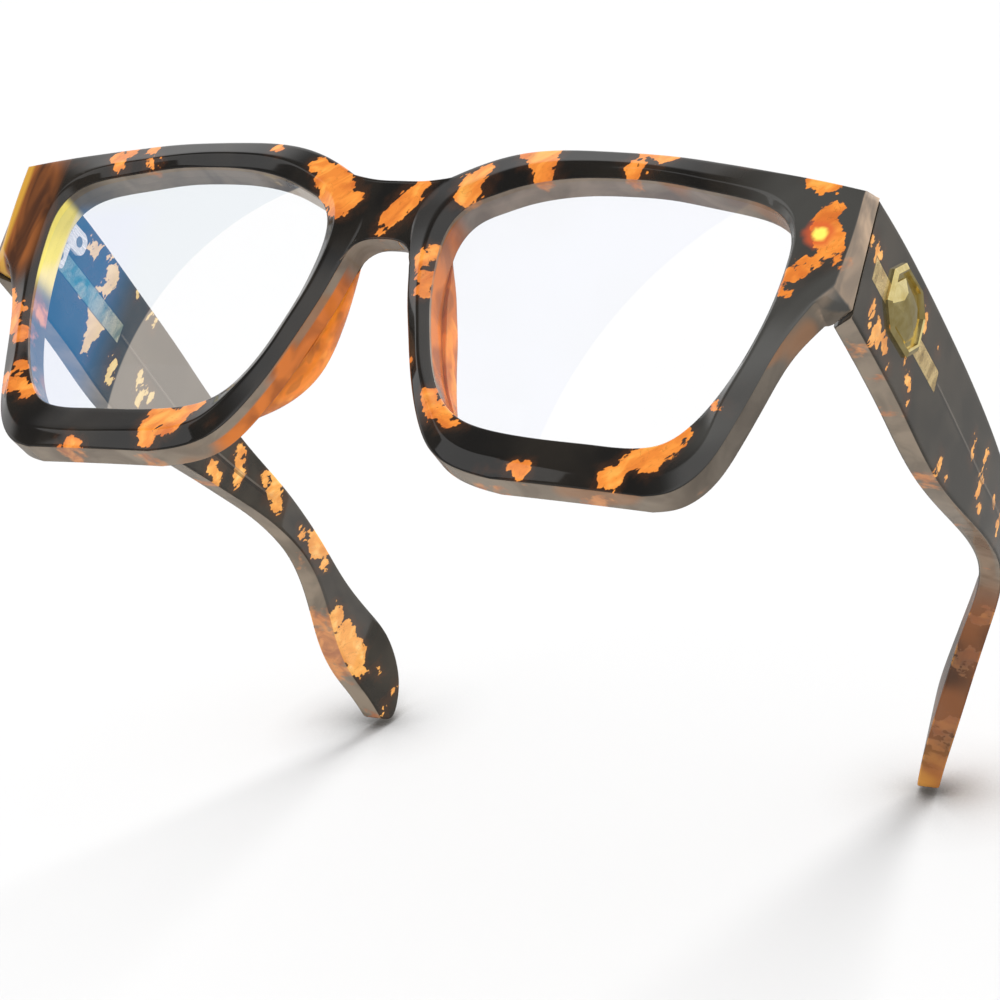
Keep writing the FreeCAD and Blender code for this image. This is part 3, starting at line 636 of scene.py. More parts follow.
# ------------------------------------------------------------ other materials
def amber_pad():
    """Bonded amber acetate, glowing where light comes through it."""
    mat, net = material("amber_pad")
    where = net.coords()
    _, y, _ = net.xyz(where)
    cloud = net.noise(where, 0.13, warp=0.6)
    patch = net.noise(where, 0.26, 1.0, warp=0.3)
    thick = y.ramp(6.0, 11.5)
    colour = net.mix(cloud.ramp(0.36, 0.62), (0.56, 0.150, 0.014), (0.95, 0.280, 0.024))
    bright = patch.ramp(0.52, 0.64) * (thick * 0.85)
    colour = net.mix(bright, colour, (0.96, 0.345, 0.035))
    colour = net.mix(patch.ramp(0.42, 0.32) * 0.35, colour, (0.17, 0.060, 0.022))
    net.surface(net.node("BsdfPrincipled", {
        "Base Color": colour,
        "Roughness": patch.ramp(0.3, 0.7, low=0.10, high=0.20),
        "IOR": 1.49,
        "Coat Weight": 0.4,
        "Subsurface Weight": 0.25,
        "Subsurface Radius": (1.0, 0.35, 0.12),
        "Subsurface Scale": 0.002,
        "Emission Color": colour,
        "Emission Strength": thick * 0.22,
        "Normal": net.bump(cloud, strength=0.08, distance=0.0003)}))
    return mat


def metal(name, light, dark, rough, scale, bump, stretch=(1, 1, 1), hatch=False, satin_and_glow=False):
    """Metal with a faint grain; hatch adds a rolled pattern, satin_and_glow a paler, softer look and a painted
    glow that stands in for a bright highlight.
    """
    mat, net = material(name)
    grain = net.noise(net.coords(stretch), scale, 3.0, 0.6)
    colour = net.mix(grain.ramp(0.3, 0.7), dark, light)
    height = grain
    if hatch:
        # shallow rolled pattern: crossing wavy lines
        waves = net.node("TexWave", {"Scale": 0.55, "Distortion": 9.0, "Detail": 2.0,
                                     "Detail Scale": 0.9, "Vector": net.coords()},
                         "Fac", wave_type="BANDS", bands_direction="DIAGONAL")
        height = waves + net.noise(net.coords(), 1.4, 4.0, 0.7, 2.0) * 1.3
        line = net.lines(height, repeats=2.0, start=0.10, end=0.22)
        colour = net.mix(line, (0.05, 0.045, 0.04), colour)
    inputs = {
        "Metallic": 0.35 if satin_and_glow else 1.0,
        "Base Color": colour,
        "Roughness": grain.ramp(0.3, 0.7, low=rough * 0.8, high=rough * 1.3),
        "Normal": net.bump(height, strength=bump, distance=0.0001)}
    if satin_and_glow:
        # painted glow standing in for a bright highlight; it keeps the grain colour
        inputs.update({"Emission Color": colour, "Emission Strength": 0.18})
    net.surface(net.node("BsdfPrincipled", inputs))
    return mat


def coated_lens(name, centre, radius, near, far, beyond, blue=None):
    """Clear lens whose coating's reflection is painted as a glow, split by an arc.

    Each zone is (light thrown back, what a white ground looks like through it). Near and far
    mix inside the arc; beyond is outside it. Centre is the arc's (x, z). Blue holds the x
    and then the z where the far zone starts and is full.
    """
    mat, net = material(name)
    x, _, z = net.xyz(net.coords())
    arc = net.distance(x, z, centre).ramp(radius - 0.20, radius + 0.20)
    cloud = net.noise(net.coords(), 0.05)
    if blue:
        zone = x.ramp(blue[0], blue[1]) * z.ramp(blue[2], blue[3])
        zone = zone * cloud.ramp(0.25, 0.55, low=0.75)
        edge = x.ramp(-60.0, -60.9) * z.ramp(2.0, 6.0)
        zone = zone * (1.0 - edge)
    else:
        zone = cloud.ramp(0.3, 0.7)

    def passed(pair):
        return tuple(max(white - back, 0.0) for back, white in zip(*pair))

    # painted reflection: the light the coating throws back is drawn as an emission below
    thrown = net.mix(arc, beyond[0], net.mix(zone, near[0], far[0]))
    through = net.mix(arc, passed(beyond), net.mix(zone, passed(near), passed(far)))
    backfacing = net.node("NewGeometry", output="Backfacing")
    _, normal_y, _ = net.normal()
    # only the coated front face, only from outside
    coated = (1.0 - backfacing) * net.math("LESS_THAN", normal_y, -0.25)
    emission = net.node("Emission", {"Color": thrown, "Strength": coated})
    clear = net.node("BsdfTransparent", {0: net.mix(coated, (0.995, 0.998, 1.0), through)})
    glass = net.node("AddShader", {0: emission, 1: clear})
    gloss = net.node("BsdfGlossy", {"Roughness": 0.02, "Color": (0.80, 0.88, 1.0)})
    fresnel = net.node("Fresnel", {"IOR": 1.25})
    net.surface(net.node("MixShader", {0: fresnel * (1.0 - backfacing), 1: glass, 2: gloss}))
    return mat


# ----------------------------------------------------------------- the flakes
# centres (x, y, z) and radius
FRONT_FLAKES = [
    (20.4, 1.2, 25.4, 1.36), (22.4, 1.3, 24.8, 1.69), (24.0, 1.4, 25.6, 1.53), (23.6, 1.3, 22.4, 1.36),
    (24.4, 1.4, 20.5, 0.85), (12.5, 0.9, 18.2, 1.53), (13.2, 1.0, 20.2, 1.36), (14.3, 1.0, 21.9, 1.19),
    (11.8, 0.9, 16.4, 1.02), (39.1, 2.3, 26.6, 1.19), (41.4, 2.4, 26.4, 1.36), (43.2, 2.6, 26.7, 1.02),
    (37.7, 2.2, 22.9, 1.19), (38.5, 2.2, 24.1, 0.85), (55.0, 3.7, 26.2, 0.51), (66.3, 5.0, 23.6, 1.19),
    (68.2, 5.3, 23.1, 1.02), (64.8, 4.8, 23.9, 0.68), (69.6, 5.5, 19.2, 1.36), (68.7, 5.3, 16.9, 1.69),
    (69.6, 5.4, 14.0, 2.03), (71.4, 5.7, 11.0, 1.36), (68.9, 5.4, 10.7, 1.02), (66.0, 5.0, 7.4, 1.19),
    (64.7, 4.8, 5.2, 1.02), (66.9, 5.1, 8.8, 0.85), (50.1, 3.2, -23.9, 1.53), (51.9, 3.4, -22.8, 1.53),
    (53.3, 3.5, -21.4, 1.36), (54.8, 3.7, -19.7, 1.02), (51.7, 3.4, -24.9, 1.02), (56.0, 3.8, -18.3, 0.68),
    (46.6, 2.9, -27.6, 1.19), (47.8, 3.0, -26.7, 0.85), (17.0, 1.1, -18.5, 1.36), (19.1, 1.2, -20.0, 1.36),
    (21.5, 1.2, -21.1, 1.02), (15.9, 1.0, -16.8, 0.85), (33.5, 1.9, -27.5, 0.68), (34.5, 1.9, -27.5, 0.51),
    (8.6, 0.9, 5.3, 1.02), (10.1, 0.9, 2.6, 1.36), (9.8, 0.9, 0.1, 1.02), (9.7, 0.9, 7.1, 0.85),
    (11.4, 0.9, -11.6, 0.51), (3.4, 0.8, 17.8, 1.19), (2.0, 0.8, 16.3, 1.36), (1.0, 0.8, 14.5, 1.36),
    (0.1, 0.8, 12.3, 1.19), (-0.5, 0.8, 10.3, 0.85), (4.5, 0.8, 18.9, 0.68), (-14.5, 1.0, 22.0, 1.53),
    (-11.8, 0.9, 20.2, 1.86), (-9.0, 0.9, 17.8, 2.03), (-9.8, 0.9, 15.3, 1.53), (-7.1, 0.8, 15.7, 1.36),
    (-11.9, 0.9, 17.4, 1.36), (-8.4, 0.9, 13.3, 1.02), (-54.7, 3.7, 23.9, 1.19), (-52.7, 3.5, 25.0, 1.19),
    (-52.9, 3.5, 22.5, 0.85), (-47.7, 3.0, 25.2, 1.02), (-46.8, 2.9, 22.3, 1.02), (-23.5, 1.3, 25.1, 0.85),
    (-66.9, 5.1, -2.7, 1.69), (-64.2, 4.8, -6.2, 1.86), (-61.6, 4.4, -9.2, 1.36), (-61.0, 4.4, -17.6, 1.53),
    (-58.2, 4.0, -18.3, 1.36), (-55.7, 3.8, -19.4, 1.02), (-58.8, 4.1, -14.9, 0.85), (-29.7, 1.6, -24.9, 1.69),
    (-28.7, 1.6, -22.6, 1.69), (-26.0, 1.4, -23.9, 1.53), (-24.2, 1.4, -21.7, 1.36), (-22.8, 1.3, -20.6, 1.02),
    (-29.6, 1.6, -27.2, 1.19), (-43.4, 2.6, -28.9, 0.68), (-41.8, 2.5, -29.0, 0.51),
    # walls and back, out of sight from the front
    (30.0, 6.5, -27.5, 1.6), (60.0, 6.0, -14.0, 1.3), (61.5, 8.0, -8.0, 1.2), (-20.0, 6.0, -24.0, 1.5),
    (-56.0, 8.0, -25.0, 1.6), (-45.0, 6.5, -29.0, 1.3), (33.0, 7.5, 25.0, 1.5), (58.0, 9.0, 24.0, 1.5),
    (-33.0, 7.5, 25.0, 1.6), (-62.0, 9.5, 22.0, 1.7), (16.0, 6.5, -20.0, 1.4), (57.0, 9.0, -24.0, 1.4),
    (-15.0, 6.5, -16.0, 1.2), (62.0, 10.0, 2.0, 1.5), (-66.0, 10.0, 12.0, 1.8), (4.0, 6.5, 14.0, 1.6),
    (-62.0, 9.0, -3.0, 1.5), (26.0, 7.0, -28.0, 1.1), (-30.0, 7.0, -28.5, 1.4), (44.0, 8.2, -28.5, 1.5)]
# (y, z, radius), on the +X temple and then on the -X one
LEFT_FLAKES = [
    (14.8, 7.3, 1.15), (18.3, 6.5, 1.3), (21.2, 6.5, 0.87), (16.8, 4.4, 0.72), (32.2, 20.1, 0.6),
    (33.9, 18.5, 0.76), (34.2, 16.6, 0.6), (30.4, 8.9, 0.59), (32.1, 7.1, 0.67), (33.5, 5.0, 0.6),
    (34.4, 3.1, 0.45), (24.8, 4.0, 0.44), (8.4, 16.5, 0.86), (11.7, 15.8, 1.01), (15.1, 15.2, 0.87),
    (41.2, 17.1, 0.46), (52.0, 3.5, 0.92), (52.3, 1.5, 1.08), (56.0, 2.0, 0.62), (64.8, 14.1, 0.64),
    (64.7, 11.8, 0.79), (71.8, 15.2, 0.65), (71.7, 12.7, 0.81), (70.6, 10.0, 0.8), (71.3, 6.7, 0.96),
    (73.7, 5.3, 0.8), (80.3, 11.3, 0.82), (85.1, 10.0, 0.99), (86.6, 7.8, 0.66), (97.0, 9.5, 1.2),
    (99.5, 11.8, 1.2), (104.0, 11.0, 0.9), (112.0, 8.0, 1.2), (114.5, 5.0, 1.0), (121.0, 1.0, 1.3),
    (123.5, -1.5, 1.1), (131.0, -6.0, 1.6), (129.5, -9.0, 1.5), (133.0, -11.0, 1.5),
    (139.0, -12.0, 1.4), (141.5, -14.5, 1.8), (143.0, -11.0, 1.2), (136.0, -15.5, 1.5),
    (141.0, -17.0, 1.8)]
RIGHT_FLAKES = [
    (25.4, 21.0, 0.86), (28.0, 20.2, 0.86), (32.1, 21.8, 0.87), (34.4, 20.4, 1.05),
    (28.3, 12.7, 1.37), (32.7, 13.3, 1.56), (34.8, 17.0, 1.22), (36.2, 11.8, 1.56),
    (34.6, 8.4, 1.38), (34.7, 5.5, 1.04), (36.3, 19.5, 0.87), (44.2, 21.1, 0.53), (50.2, 21.1, 0.72),
    (52.3, 20.5, 0.72), (53.6, 9.9, 0.72), (55.6, 6.5, 1.07), (58.7, 8.6, 1.08), (45.0, 7.5, 0.88),
    (43.9, 5.1, 1.05), (84.6, 7.8, 0.94), (87.8, 6.9, 1.13), (91.6, 14.9, 0.95), (92.3, 12.3, 1.14),
    (93.7, 9.8, 1.14), (100.6, 12.8, 1.16), (103.4, 12.2, 1.74), (105.5, 10.7, 1.36),
    (113.1, 7.7, 0.78), (115.3, 9.8, 1.18), (117.3, 7.3, 1.76), (118.9, 5.5, 1.37),
    (125.3, -3.1, 1.18), (128.3, -6.0, 1.97), (131.0, -7.9, 2.36), (132.9, -10.2, 1.77),
    (128.4, -9.1, 1.57), (138.0, -8.3, 0.69), (143.5, -10.1, 0.8), (142.4, -15.4, 0.79),
    (123.9, -6.0, 1.37), (127.5, -10.7, 1.57)]


def flake_field(obj, flakes, stretch, grow):
    """Writes, per vertex, how deep it lies inside the nearest flake, in mm."""
    mesh = obj.data
    count = len(mesh.vertices)
    points = np.empty(count * 3)
    mesh.vertices.foreach_get("co", points)
    points = points.reshape(-1, 3) / MM
    outside, blend = -6.0, 0.7      # lowest depth, and how softly flakes join
    best = np.full(count, outside)
    for *centre, radius in flakes:
        offset = (points - np.array(centre)) / np.array(stretch)
        depth = radius * grow - np.sqrt((offset ** 2).sum(1))
        top = np.maximum(best, depth)
        best = top + blend * np.log(np.exp((best - top) / blend) + np.exp((depth - top) / blend))
    attribute = mesh.attributes.new("flake", "FLOAT", "POINT")
    attribute.data.foreach_set("value", best.astype(np.float32))


# ------------------------------------------------------------------ the front
STATIONS = len(APERTURE) * SAMPLES
TOP_STATION = JOIN_TOP * SAMPLES
LOW_STATION = JOIN_LOW * SAMPLES
aperture_loop = spline(APERTURE, SAMPLES, closed=True)
ridge_loop = spline(RIDGE, SAMPLES, closed=True)
outer_front_loop = outer_loop(OUTER_FRONT)
outer_back_loop = outer_loop(OUTER)
setbacks = np.array([here + (there - here) * k / SAMPLES
                     for here, there in zip(OUTER_SETBACK, OUTER_SETBACK[1:] + OUTER_SETBACK[:1])
                     for k in range(SAMPLES)])


def edge_radii():
    """Edge rounding per station; it fades out where the bridge joins."""
    radii = np.full(STATIONS, FRONT_EDGE)
    for i in range(STATIONS):
        if i > LOW_STATION or i < TOP_STATION:
            steps = min((i - LOW_STATION) % STATIONS, (TOP_STATION - i) % STATIONS)
            radii[i] = max(0.0, FRONT_EDGE * (1 - steps / 2.0))
    return radii


def toward(points, targets, distances):
    away = targets - points
    return points + away / np.linalg.norm(away, axis=1, keepdims=True) * distances[:, None]


def add_rim(build, side):
    """Faces of one rim inside its outer edge. Returns (edge, inset edge) per face."""
    radii = edge_radii()
    hole_back = place(aperture_loop, back_y, side)
    hole_front = place(aperture_loop, lambda x: wrap_y(x) + APERTURE_SETBACK, side)
    ridge = place(ridge_loop, wrap_y, side)
    front_edge = place(outer_front_loop, wrap_y, side)
    front_edge[:, 1] += setbacks
    back_edge = place(outer_back_loop, back_y, side)

    back_round = corner_rows(back_edge, hole_back, hole_front, 0.25)
    front_round = corner_rows(hole_back, hole_front, ridge, 0.22)
    ridge_round = corner_rows(hole_front, ridge, front_edge, 0.45, 4)
    front_inset = toward(front_edge, ridge, radii)
    rows = (back_round + between(back_round[-1], front_round[0], 6)
            + front_round + between(front_round[-1], ridge_round[0], 5)
            + ridge_round + between(ridge_round[-1], front_inset, 8) + [front_inset])
    build.grid(rows, wrap=True)

    back_inset = toward(back_edge, hole_back, radii * 0.8)
    start = back_round[0]
    rows = [start] + between(start, back_inset, 4) + [back_inset]
    # keep one row on the line where the mitre starts
    start_x, end_x = np.abs(start[:, 0]), np.abs(back_inset[:, 0])
    cut = end_x > 70.9
    share = (MITRE_IN[0] - start_x[cut]) / (end_x[cut] - start_x[cut])
    rows[3][cut] = start[cut] + (back_inset[cut] - start[cut]) * share[:, None]
    for row in rows[1:-1]:
        row[:, 1] = back_y(row[:, 0])
    build.grid(rows, wrap=True)
    return {"front": (front_edge, front_inset), "back": (back_edge, back_inset)}


def bridge_curves(outline, back_outline, join):
    """Front and back curves; the front one meets the rims' own edge depth."""
    end_y = wrap_y(OUTER[join][0]) + OUTER_SETBACK[join]
    along = np.linspace(0, 1, len(outline))
    depth = BRIDGE_Y + (end_y - BRIDGE_Y) * (2 * along - 1) ** 6
    return {"front": place(outline, lambda x: depth), "back": place(back_outline, back_y)}


def arch(lift):
    """Lower edge of the bridge; lift raises its middle."""
    half = [(5.9, 0.8), (5.45, 2.6), (4.4, 4.25 + 0.6 * lift), (2.4, 5.2 + lift)]
    mirrored = [(-x, z) for x, z in half[::-1]]
    return spline(half + [(0, 5.4 + lift)] + mirrored, 3)


def inset_curve(curve, sign, right_end, left_end, distance):
    """Inner edge of the rounded border along a bridge curve."""
    along = curve[2:] - curve[:-2]
    normal = np.stack([-along[:, 2], np.zeros(len(along)), along[:, 0]], 1)
    normal = normal / np.linalg.norm(normal, axis=1, keepdims=True) * sign
    return np.vstack([right_end, curve[1:-1] + normal * distance, left_end])


def ring_of(plus_rim, lower, minus_rim, upper):
    """Closed chain: +X rim, arch, -X rim, bridge top."""
    part = slice(TOP_STATION, LOW_STATION + 1)
    return np.vstack([plus_rim[part], lower[1:-1], minus_rim[part][::-1], upper[::-1][1:-1]])


def coons(bottom, top, right, left):
    """Patch between four curves, as rows from bottom to top."""
    across = np.arange(len(bottom))[:, None] / (len(bottom) - 1)
    rows = []
    for j in range(len(right)):
        up = j / (len(right) - 1)
        rows.append((1 - up) * bottom + up * top + (1 - across) * right[j] + across * left[j]
                    - ((1 - across) * (1 - up) * bottom[0] + across * (1 - up) * bottom[-1]
                       + (1 - across) * up * top[0] + across * up * top[-1]))
    return rows


def wall_rows(front, front_inset, back, back_inset):
    """Outer wall with rounded edges; the outline is full from END_Y on."""
    full_depth = np.maximum(END_Y - front[:, 1], 0.6)
    flat = [0, 2]

    def widen(row):
        share = np.minimum(1, (row[:, 1] - front[:, 1]) / full_depth)
        row[:, flat] = front[:, flat] + (back - front)[:, flat] * share[:, None]
        return row

    wall_front = widen(front + np.array([0, FRONT_EDGE, 0]))
    wall_back = back - np.array([0, BACK_EDGE, 0])
    middle = [widen(row) for row in between(wall_front, wall_back, 5)]
    return bezier(front_inset, front, wall_front) + middle + bezier(wall_back, back, back_inset)


def make_front():
    build = Build()
    rims = {side: add_rim(build, side) for side in (1, -1)}
    top = spline(BRIDGE_TOP, 6)
    uppers = bridge_curves(top, top, JOIN_TOP)
    lowers = bridge_curves(arch(0.0), arch(ARCH_BACK_LIFT), JOIN_LOW)
    join = [i % STATIONS for i in range(LOW_STATION, STATIONS + TOP_STATION + 1)]
    rings, patches = [], []
    for face, radius in (("front", FRONT_EDGE), ("back", BACK_EDGE)):
        lower, upper = lowers[face], uppers[face]
        plus, plus_inset = rims[1][face]
        minus, minus_inset = rims[-1][face]
        lower_inset = inset_curve(lower, -1, plus_inset[LOW_STATION], minus_inset[LOW_STATION],
                                  radius)
        upper_inset = inset_curve(upper, 1, plus_inset[TOP_STATION], minus_inset[TOP_STATION],
                                  radius)
        rings += [ring_of(plus, lower, minus, upper),
                  ring_of(plus_inset, lower_inset, minus_inset, upper_inset)]
        patches.append(coons(lower_inset, upper_inset, plus_inset[join], minus_inset[join]))
    build.grid(wall_rows(*rings), wrap=True)
    for patch in patches:
        build.grid(patch)
    return build.make("front")


front = make_front()
flake_field(front, FRONT_FLAKES, stretch=(1.0, 1.7, 1.0), grow=1.12)


# ------------------------------------------------------------------- temples
def temple_inner_points():
    """The outer line moved inwards by the thickness."""
    points = []
    last = len(TEMPLE_OUT) - 1
    for k, ((x, y), thick) in enumerate(zip(TEMPLE_OUT, TEMPLE_THICK)):
        along = np.array(TEMPLE_OUT[min(k + 1, last)]) - np.array(TEMPLE_OUT[max(k - 1, 0)])
        along = along / np.linalg.norm(along)
        points.append((x - thick * along[1], y + thick * along[0]))
    return points


temple_outer = spline(TEMPLE_OUT, 12)
temple_inner = spline(temple_inner_points(), 12)


def x_out(y):
    return np.interp(y, temple_outer[:, 1], temple_outer[:, 0])


def x_in(y):
    return np.interp(y, temple_inner[:, 1], temple_inner[:, 0])


def temple_outline(count):
    """Side outline from the hinge over the tip and back, count samples per edge."""
    top = spline(TEMPLE_TOP, 12)
    low = spline(TEMPLE_LOW, 12)
    outline = np.vstack([top, low[1:]])
    start = TEMPLE_START_Y
    start_top = np.interp(start, top[:30, 0], top[:30, 1])
    start_low = np.interp(start, low[::-1][:30, 0], low[::-1][:30, 1])
    outline = np.vstack([[start, start_top], outline[outline[:, 0] > start],
                         [start, start_low]])
    tip = int(np.argmax(outline[:, 0] - 0.55 * outline[:, 1]))
    return np.vstack([resample(outline[:tip + 1], count), resample(outline[tip:], count)[1:]])


def make_temple(side, name):
    """Plate cut to the side outline, with rounded edges running right round the tip."""
    count, face_rows, nominal_thick = 300, 32, 4.0
    ring = temple_outline(count)
    along = np.gradient(ring, axis=0)
    along = along / np.linalg.norm(along, axis=1, keepdims=True)
    # the outline runs clockwise, so this moves it inwards
    inset = ring + np.stack([along[:, 1], -along[:, 0]], 1) * TEMPLE_EDGE
    inset[0], inset[-1] = ring[0] + (0, -TEMPLE_EDGE), ring[-1] + (0, TEMPLE_EDGE)

    def at(outline, depth):
        """Outline at a depth from the outer (0) to the inner face (1), mitred at the hinge."""
        fade = np.maximum(0, 1 - (outline[:, 0] - TEMPLE_START_Y) / 18.0)
        y = outline[:, 0] + (MITRE_IN[1] - MITRE_OUT[1]) * depth * fade
        x = x_out(y) * (1 - depth) + x_in(y) * depth
        return np.stack([side * x, y, outline[:, 1] + FRAME_Z], 1)

    edge = TEMPLE_EDGE / nominal_thick
    rows = bezier(at(inset, 0.0), at(ring, 0.0), at(ring, edge))
    rows += [at(ring, edge + (1 - 2 * edge) * k / 5) for k in range(1, 5)]
    rows += bezier(at(ring, 1 - edge), at(ring, 1.0), at(inset, 1.0))
    build = Build()
    build.grid(rows)

    upper, lower = inset[:count], inset[count - 1:][::-1]
    outer_face, inner_face = [
        [at(upper + (lower - upper) * k / face_rows, depth) for k in range(face_rows + 1)]
        for depth in (0.0, 1.0)]
    build.grid(outer_face)
    build.grid(inner_face)
    # one polygon closes the hinge end
    top_side = [row[0] for row in rows]
    low_side = [row[-1] for row in rows]
    build.polygon([row[0] for row in outer_face] + low_side[1:]
                  + [row[0] for row in inner_face[::-1]][1:] + top_side[::-1][1:-1])
    return build.make(name)


temples = {}
for side, name, flakes in ((1, "temple_left_shell", LEFT_FLAKES),
                           (-1, "temple_right_shell", RIGHT_FLAKES)):
    temples[side] = make_temple(side, name)
    middles = [(side * float(x_out(y) - 2.0), y, z, radius) for y, z, radius in flakes]
    flake_field(temples[side], middles, stretch=(2.6, 1.0, 1.35), grow=1.18)


# ----------------------------------------------------------------- nose pads
def make_pad(side, name):
    rows = []
    for z, nasal_x, crest_x, crest_y, lens_x in spline(PAD, 6):
        rise = crest_y - PAD_BASE_Y
        section = [
            (lens_x - 0.3, PAD_BASE_Y),
            (lens_x - 0.1, max(PAD_BASE_Y + 0.6 * rise, PAD_BASE_Y + 0.8)),
            (crest_x + 0.55 * (lens_x - crest_x), PAD_BASE_Y + 0.9 * rise),
            (crest_x, crest_y),
            (crest_x - 0.65 * (crest_x - nasal_x), PAD_BASE_Y + 0.78 * rise),
            (nasal_x + 0.1, PAD_BASE_Y + 0.42 * rise),
            (nasal_x + 0.3, PAD_BASE_Y)]
        # the base sits just inside the back of the front
        rows.append(np.array([(side * x, max(y, wrap_y(x) + FRONT_THICK - 0.15), z + FRAME_Z)
                              for x, y in spline(section, 6)]))
    build = Build()
    build.grid(rows, wrap=True)
    for row in (rows[0], rows[-1]):
        centre = row.mean(0)
        cap = centre + (row - centre) * 0.6
        build.grid([row, cap], wrap=True)
        build.polygon(cap)
    return build.make(name)


pads = {1: make_pad(1, "nose_pad_left_shape"), -1: make_pad(-1, "nose_pad_right_shape")}


# -------------------------------------------------------------------- lenses
def make_lens(side, name):
    """Spherical lens, bulging to -Y, square to the wrap of the front."""
    tilt = math.atan(2 * WRAP * LENS_X)
    axis = np.array([-math.sin(tilt), math.cos(tilt), 0])
    centre = np.array([LENS_X, wrap_y(LENS_X) + LENS_SETBACK, 0]) + axis * LENS_RADIUS
    along = np.roll(aperture_loop, -1, 0) - np.roll(aperture_loop, 1, 0)
    outward = np.stack([-along[:, 1], along[:, 0]], 1) / np.linalg.norm(along, axis=1,
                                                                      keepdims=True)
    edge = aperture_loop + outward * LENS_OVERLAP
    middle = np.array([LENS_X, -FRAME_Z])
    rings = [middle + (edge - middle) * share
             for share in (1.0, 0.95, 0.85, 0.7, 0.55, 0.4, 0.25, 0.1)]

    def on_sphere(ring, radius):
        x, z = ring[:, 0], ring[:, 1] + FRAME_Z
        y = centre[1] - np.sqrt(radius ** 2 - (x - centre[0]) ** 2 - (z - centre[2]) ** 2)
        return np.stack([side * x, y, z], 1)

    build = Build()
    edges = []
    for radius in (LENS_RADIUS, LENS_RADIUS - LENS_THICK):
        rows = [on_sphere(ring, radius) for ring in rings]
        build.grid(rows, wrap=True)
        build.polygon(rows[-1])
        edges.append(rows[0])
    build.grid([edges[0], (edges[0] + edges[1]) / 2, edges[1]], wrap=True)
    return build.make(name)


lenses = {1: make_lens(1, "lens_left_clear"), -1: make_lens(-1, "lens_right_clear")}


# ----------------------------------------------------------------- ornaments
def make_ornament(side, name):
    """Eight-sided plaque: bevelled border, sunk channel, and a low cut-stone centre."""
    mid_y, mid_z = sum(PLAQUE_Y) / 2, sum(PLAQUE_Z) / 2
    half_y = (PLAQUE_Y[1] - PLAQUE_Y[0]) / 2
    half_z = (PLAQUE_Z[1] - PLAQUE_Z[0]) / 2

    def octagon(size, lift):
        """Outline scaled by size, at a height above the temple's outer face."""
        cut, wide, high = PLAQUE_CUT * size, half_y * size, half_z * size
        low_z = -high + 0.9 * cut
        corners = [(-wide + cut, -high), (wide - cut, -high), (wide, low_z), (wide, -low_z),
                   (wide - cut, high), (-wide + cut, high), (-wide, -low_z), (-wide, low_z)]
        ends = [x_out(y) for y in PLAQUE_Y]
        return np.array([
            (side * (float(np.interp(mid_y + y, PLAQUE_Y, ends)) + lift),
             mid_y + y, mid_z + z + FRAME_Z) for y, z in corners])

    build = Build()
    border = [(1.0, -0.35), (1.0, 0.40), (0.97, 0.55), (0.88, 0.85), (0.83, 0.70), (0.81, 0.12)]
    build.grid([octagon(*level) for level in border], wrap=True)
    build.grid([octagon(0.81, 0.12), octagon(0.70, 0.12)], wrap=True, material=1)
    build.grid([octagon(0.70, 0.12), octagon(0.68, 0.30)], wrap=True)
    # centre: triangles from an octagon to a smaller one turned between its corners
    base = octagon(0.68, 0.30)
    middle = octagon(0.40, 1.05)
    turned = [(middle[i] + middle[(i + 1) % 8]) / 2 for i in range(8)]
    for i in range(8):
        j = (i + 1) % 8
        build.polygon([base[j], turned[i], turned[j]])
        build.polygon([base[i], base[j], turned[i]])
    table = octagon(0.15, 1.28)
    for i in range(8):
        j = (i + 1) % 8
        build.polygon([turned[i], turned[j], table[j]])
        build.polygon([turned[i], table[j], table[i]])
    build.polygon(table)
    build.polygon(octagon(1.0, -0.35))
    obj = build.make(name)
    for face in obj.data.polygons:
        face.use_smooth = False
    return obj


ornaments = {1: make_ornament(1, "temple_plaque_left"),
             -1: make_ornament(-1, "temple_plaque_right")}

# ----------------------------------------------------------- finish and bind
front_acetate = tortoise_front()
temple_acetate = tortoise_temple()
pad_acetate = amber_pad()
hinge_plate = metal("hinge_plate", light=(0.90, 0.90, 0.90), dark=(0.76, 0.76, 0.76),
                    rough=0.24, scale=1.2, bump=0.04, stretch=(1, 0.3, 4), satin_and_glow=True)
screw_steel = metal("screw_steel", light=(0.80, 0.80, 0.80), dark=(0.60, 0.60, 0.60),
                    rough=0.18, scale=3.0, bump=0.05)
core_strip = metal("core_strip", light=(0.78, 0.76, 0.72), dark=(0.50, 0.48, 0.44),
                   rough=0.30, scale=1.5, bump=0.6, stretch=(1, 0.4, 1), hatch=True)
pale_gold = metal("pale_gold", light=(0.90, 0.76, 0.36), dark=(0.74, 0.58, 0.22),
                  rough=0.16, scale=0.5, bump=0.04)
dark_recess = metal("dark_recess", light=(0.05, 0.045, 0.035), dark=(0.02, 0.018, 0.014),
                    rough=0.35, scale=2.0, bump=0.2)
lens_coats = {
    1: coated_lens("lens_coat_left", centre=(114.57, -36.44), radius=81.49,
                   near=((0.018, 0.024, 0.034), (0.930, 0.938, 0.962)),
                   far=((0.024, 0.032, 0.048), (0.945, 0.952, 0.990)),
                   beyond=((0.045, 0.045, 0.045), (1.0, 1.0, 1.0))),
    -1: coated_lens("lens_coat_right", centre=(3.92, -19.00), radius=43.79,
                    near=((0.013, 0.036, 0.062), (0.875, 0.905, 0.930)),
                    far=((0.006, 0.140, 0.330), (0.865, 0.890, 0.965)),
                    beyond=((0.320, 0.290, 0.260), (1.0, 1.0, 1.0)),
                    blue=(-40.5, -49.5, 17.0, 12.5))}


def dress(obj, *materials):
    obj.data.materials.clear()
    for mat in materials:
        obj.data.materials.append(mat)


def weight_normals(obj):
    modifier = obj.modifiers.new("weighted", "WEIGHTED_NORMAL")
    modifier.mode = "FACE_AREA"
    modifier.weight = 80
    modifier.keep_sharp = True


def bind(obj, body, replaced, slot, *materials):
    dress(obj, *materials)
    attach(obj, body)
    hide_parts(replaced)


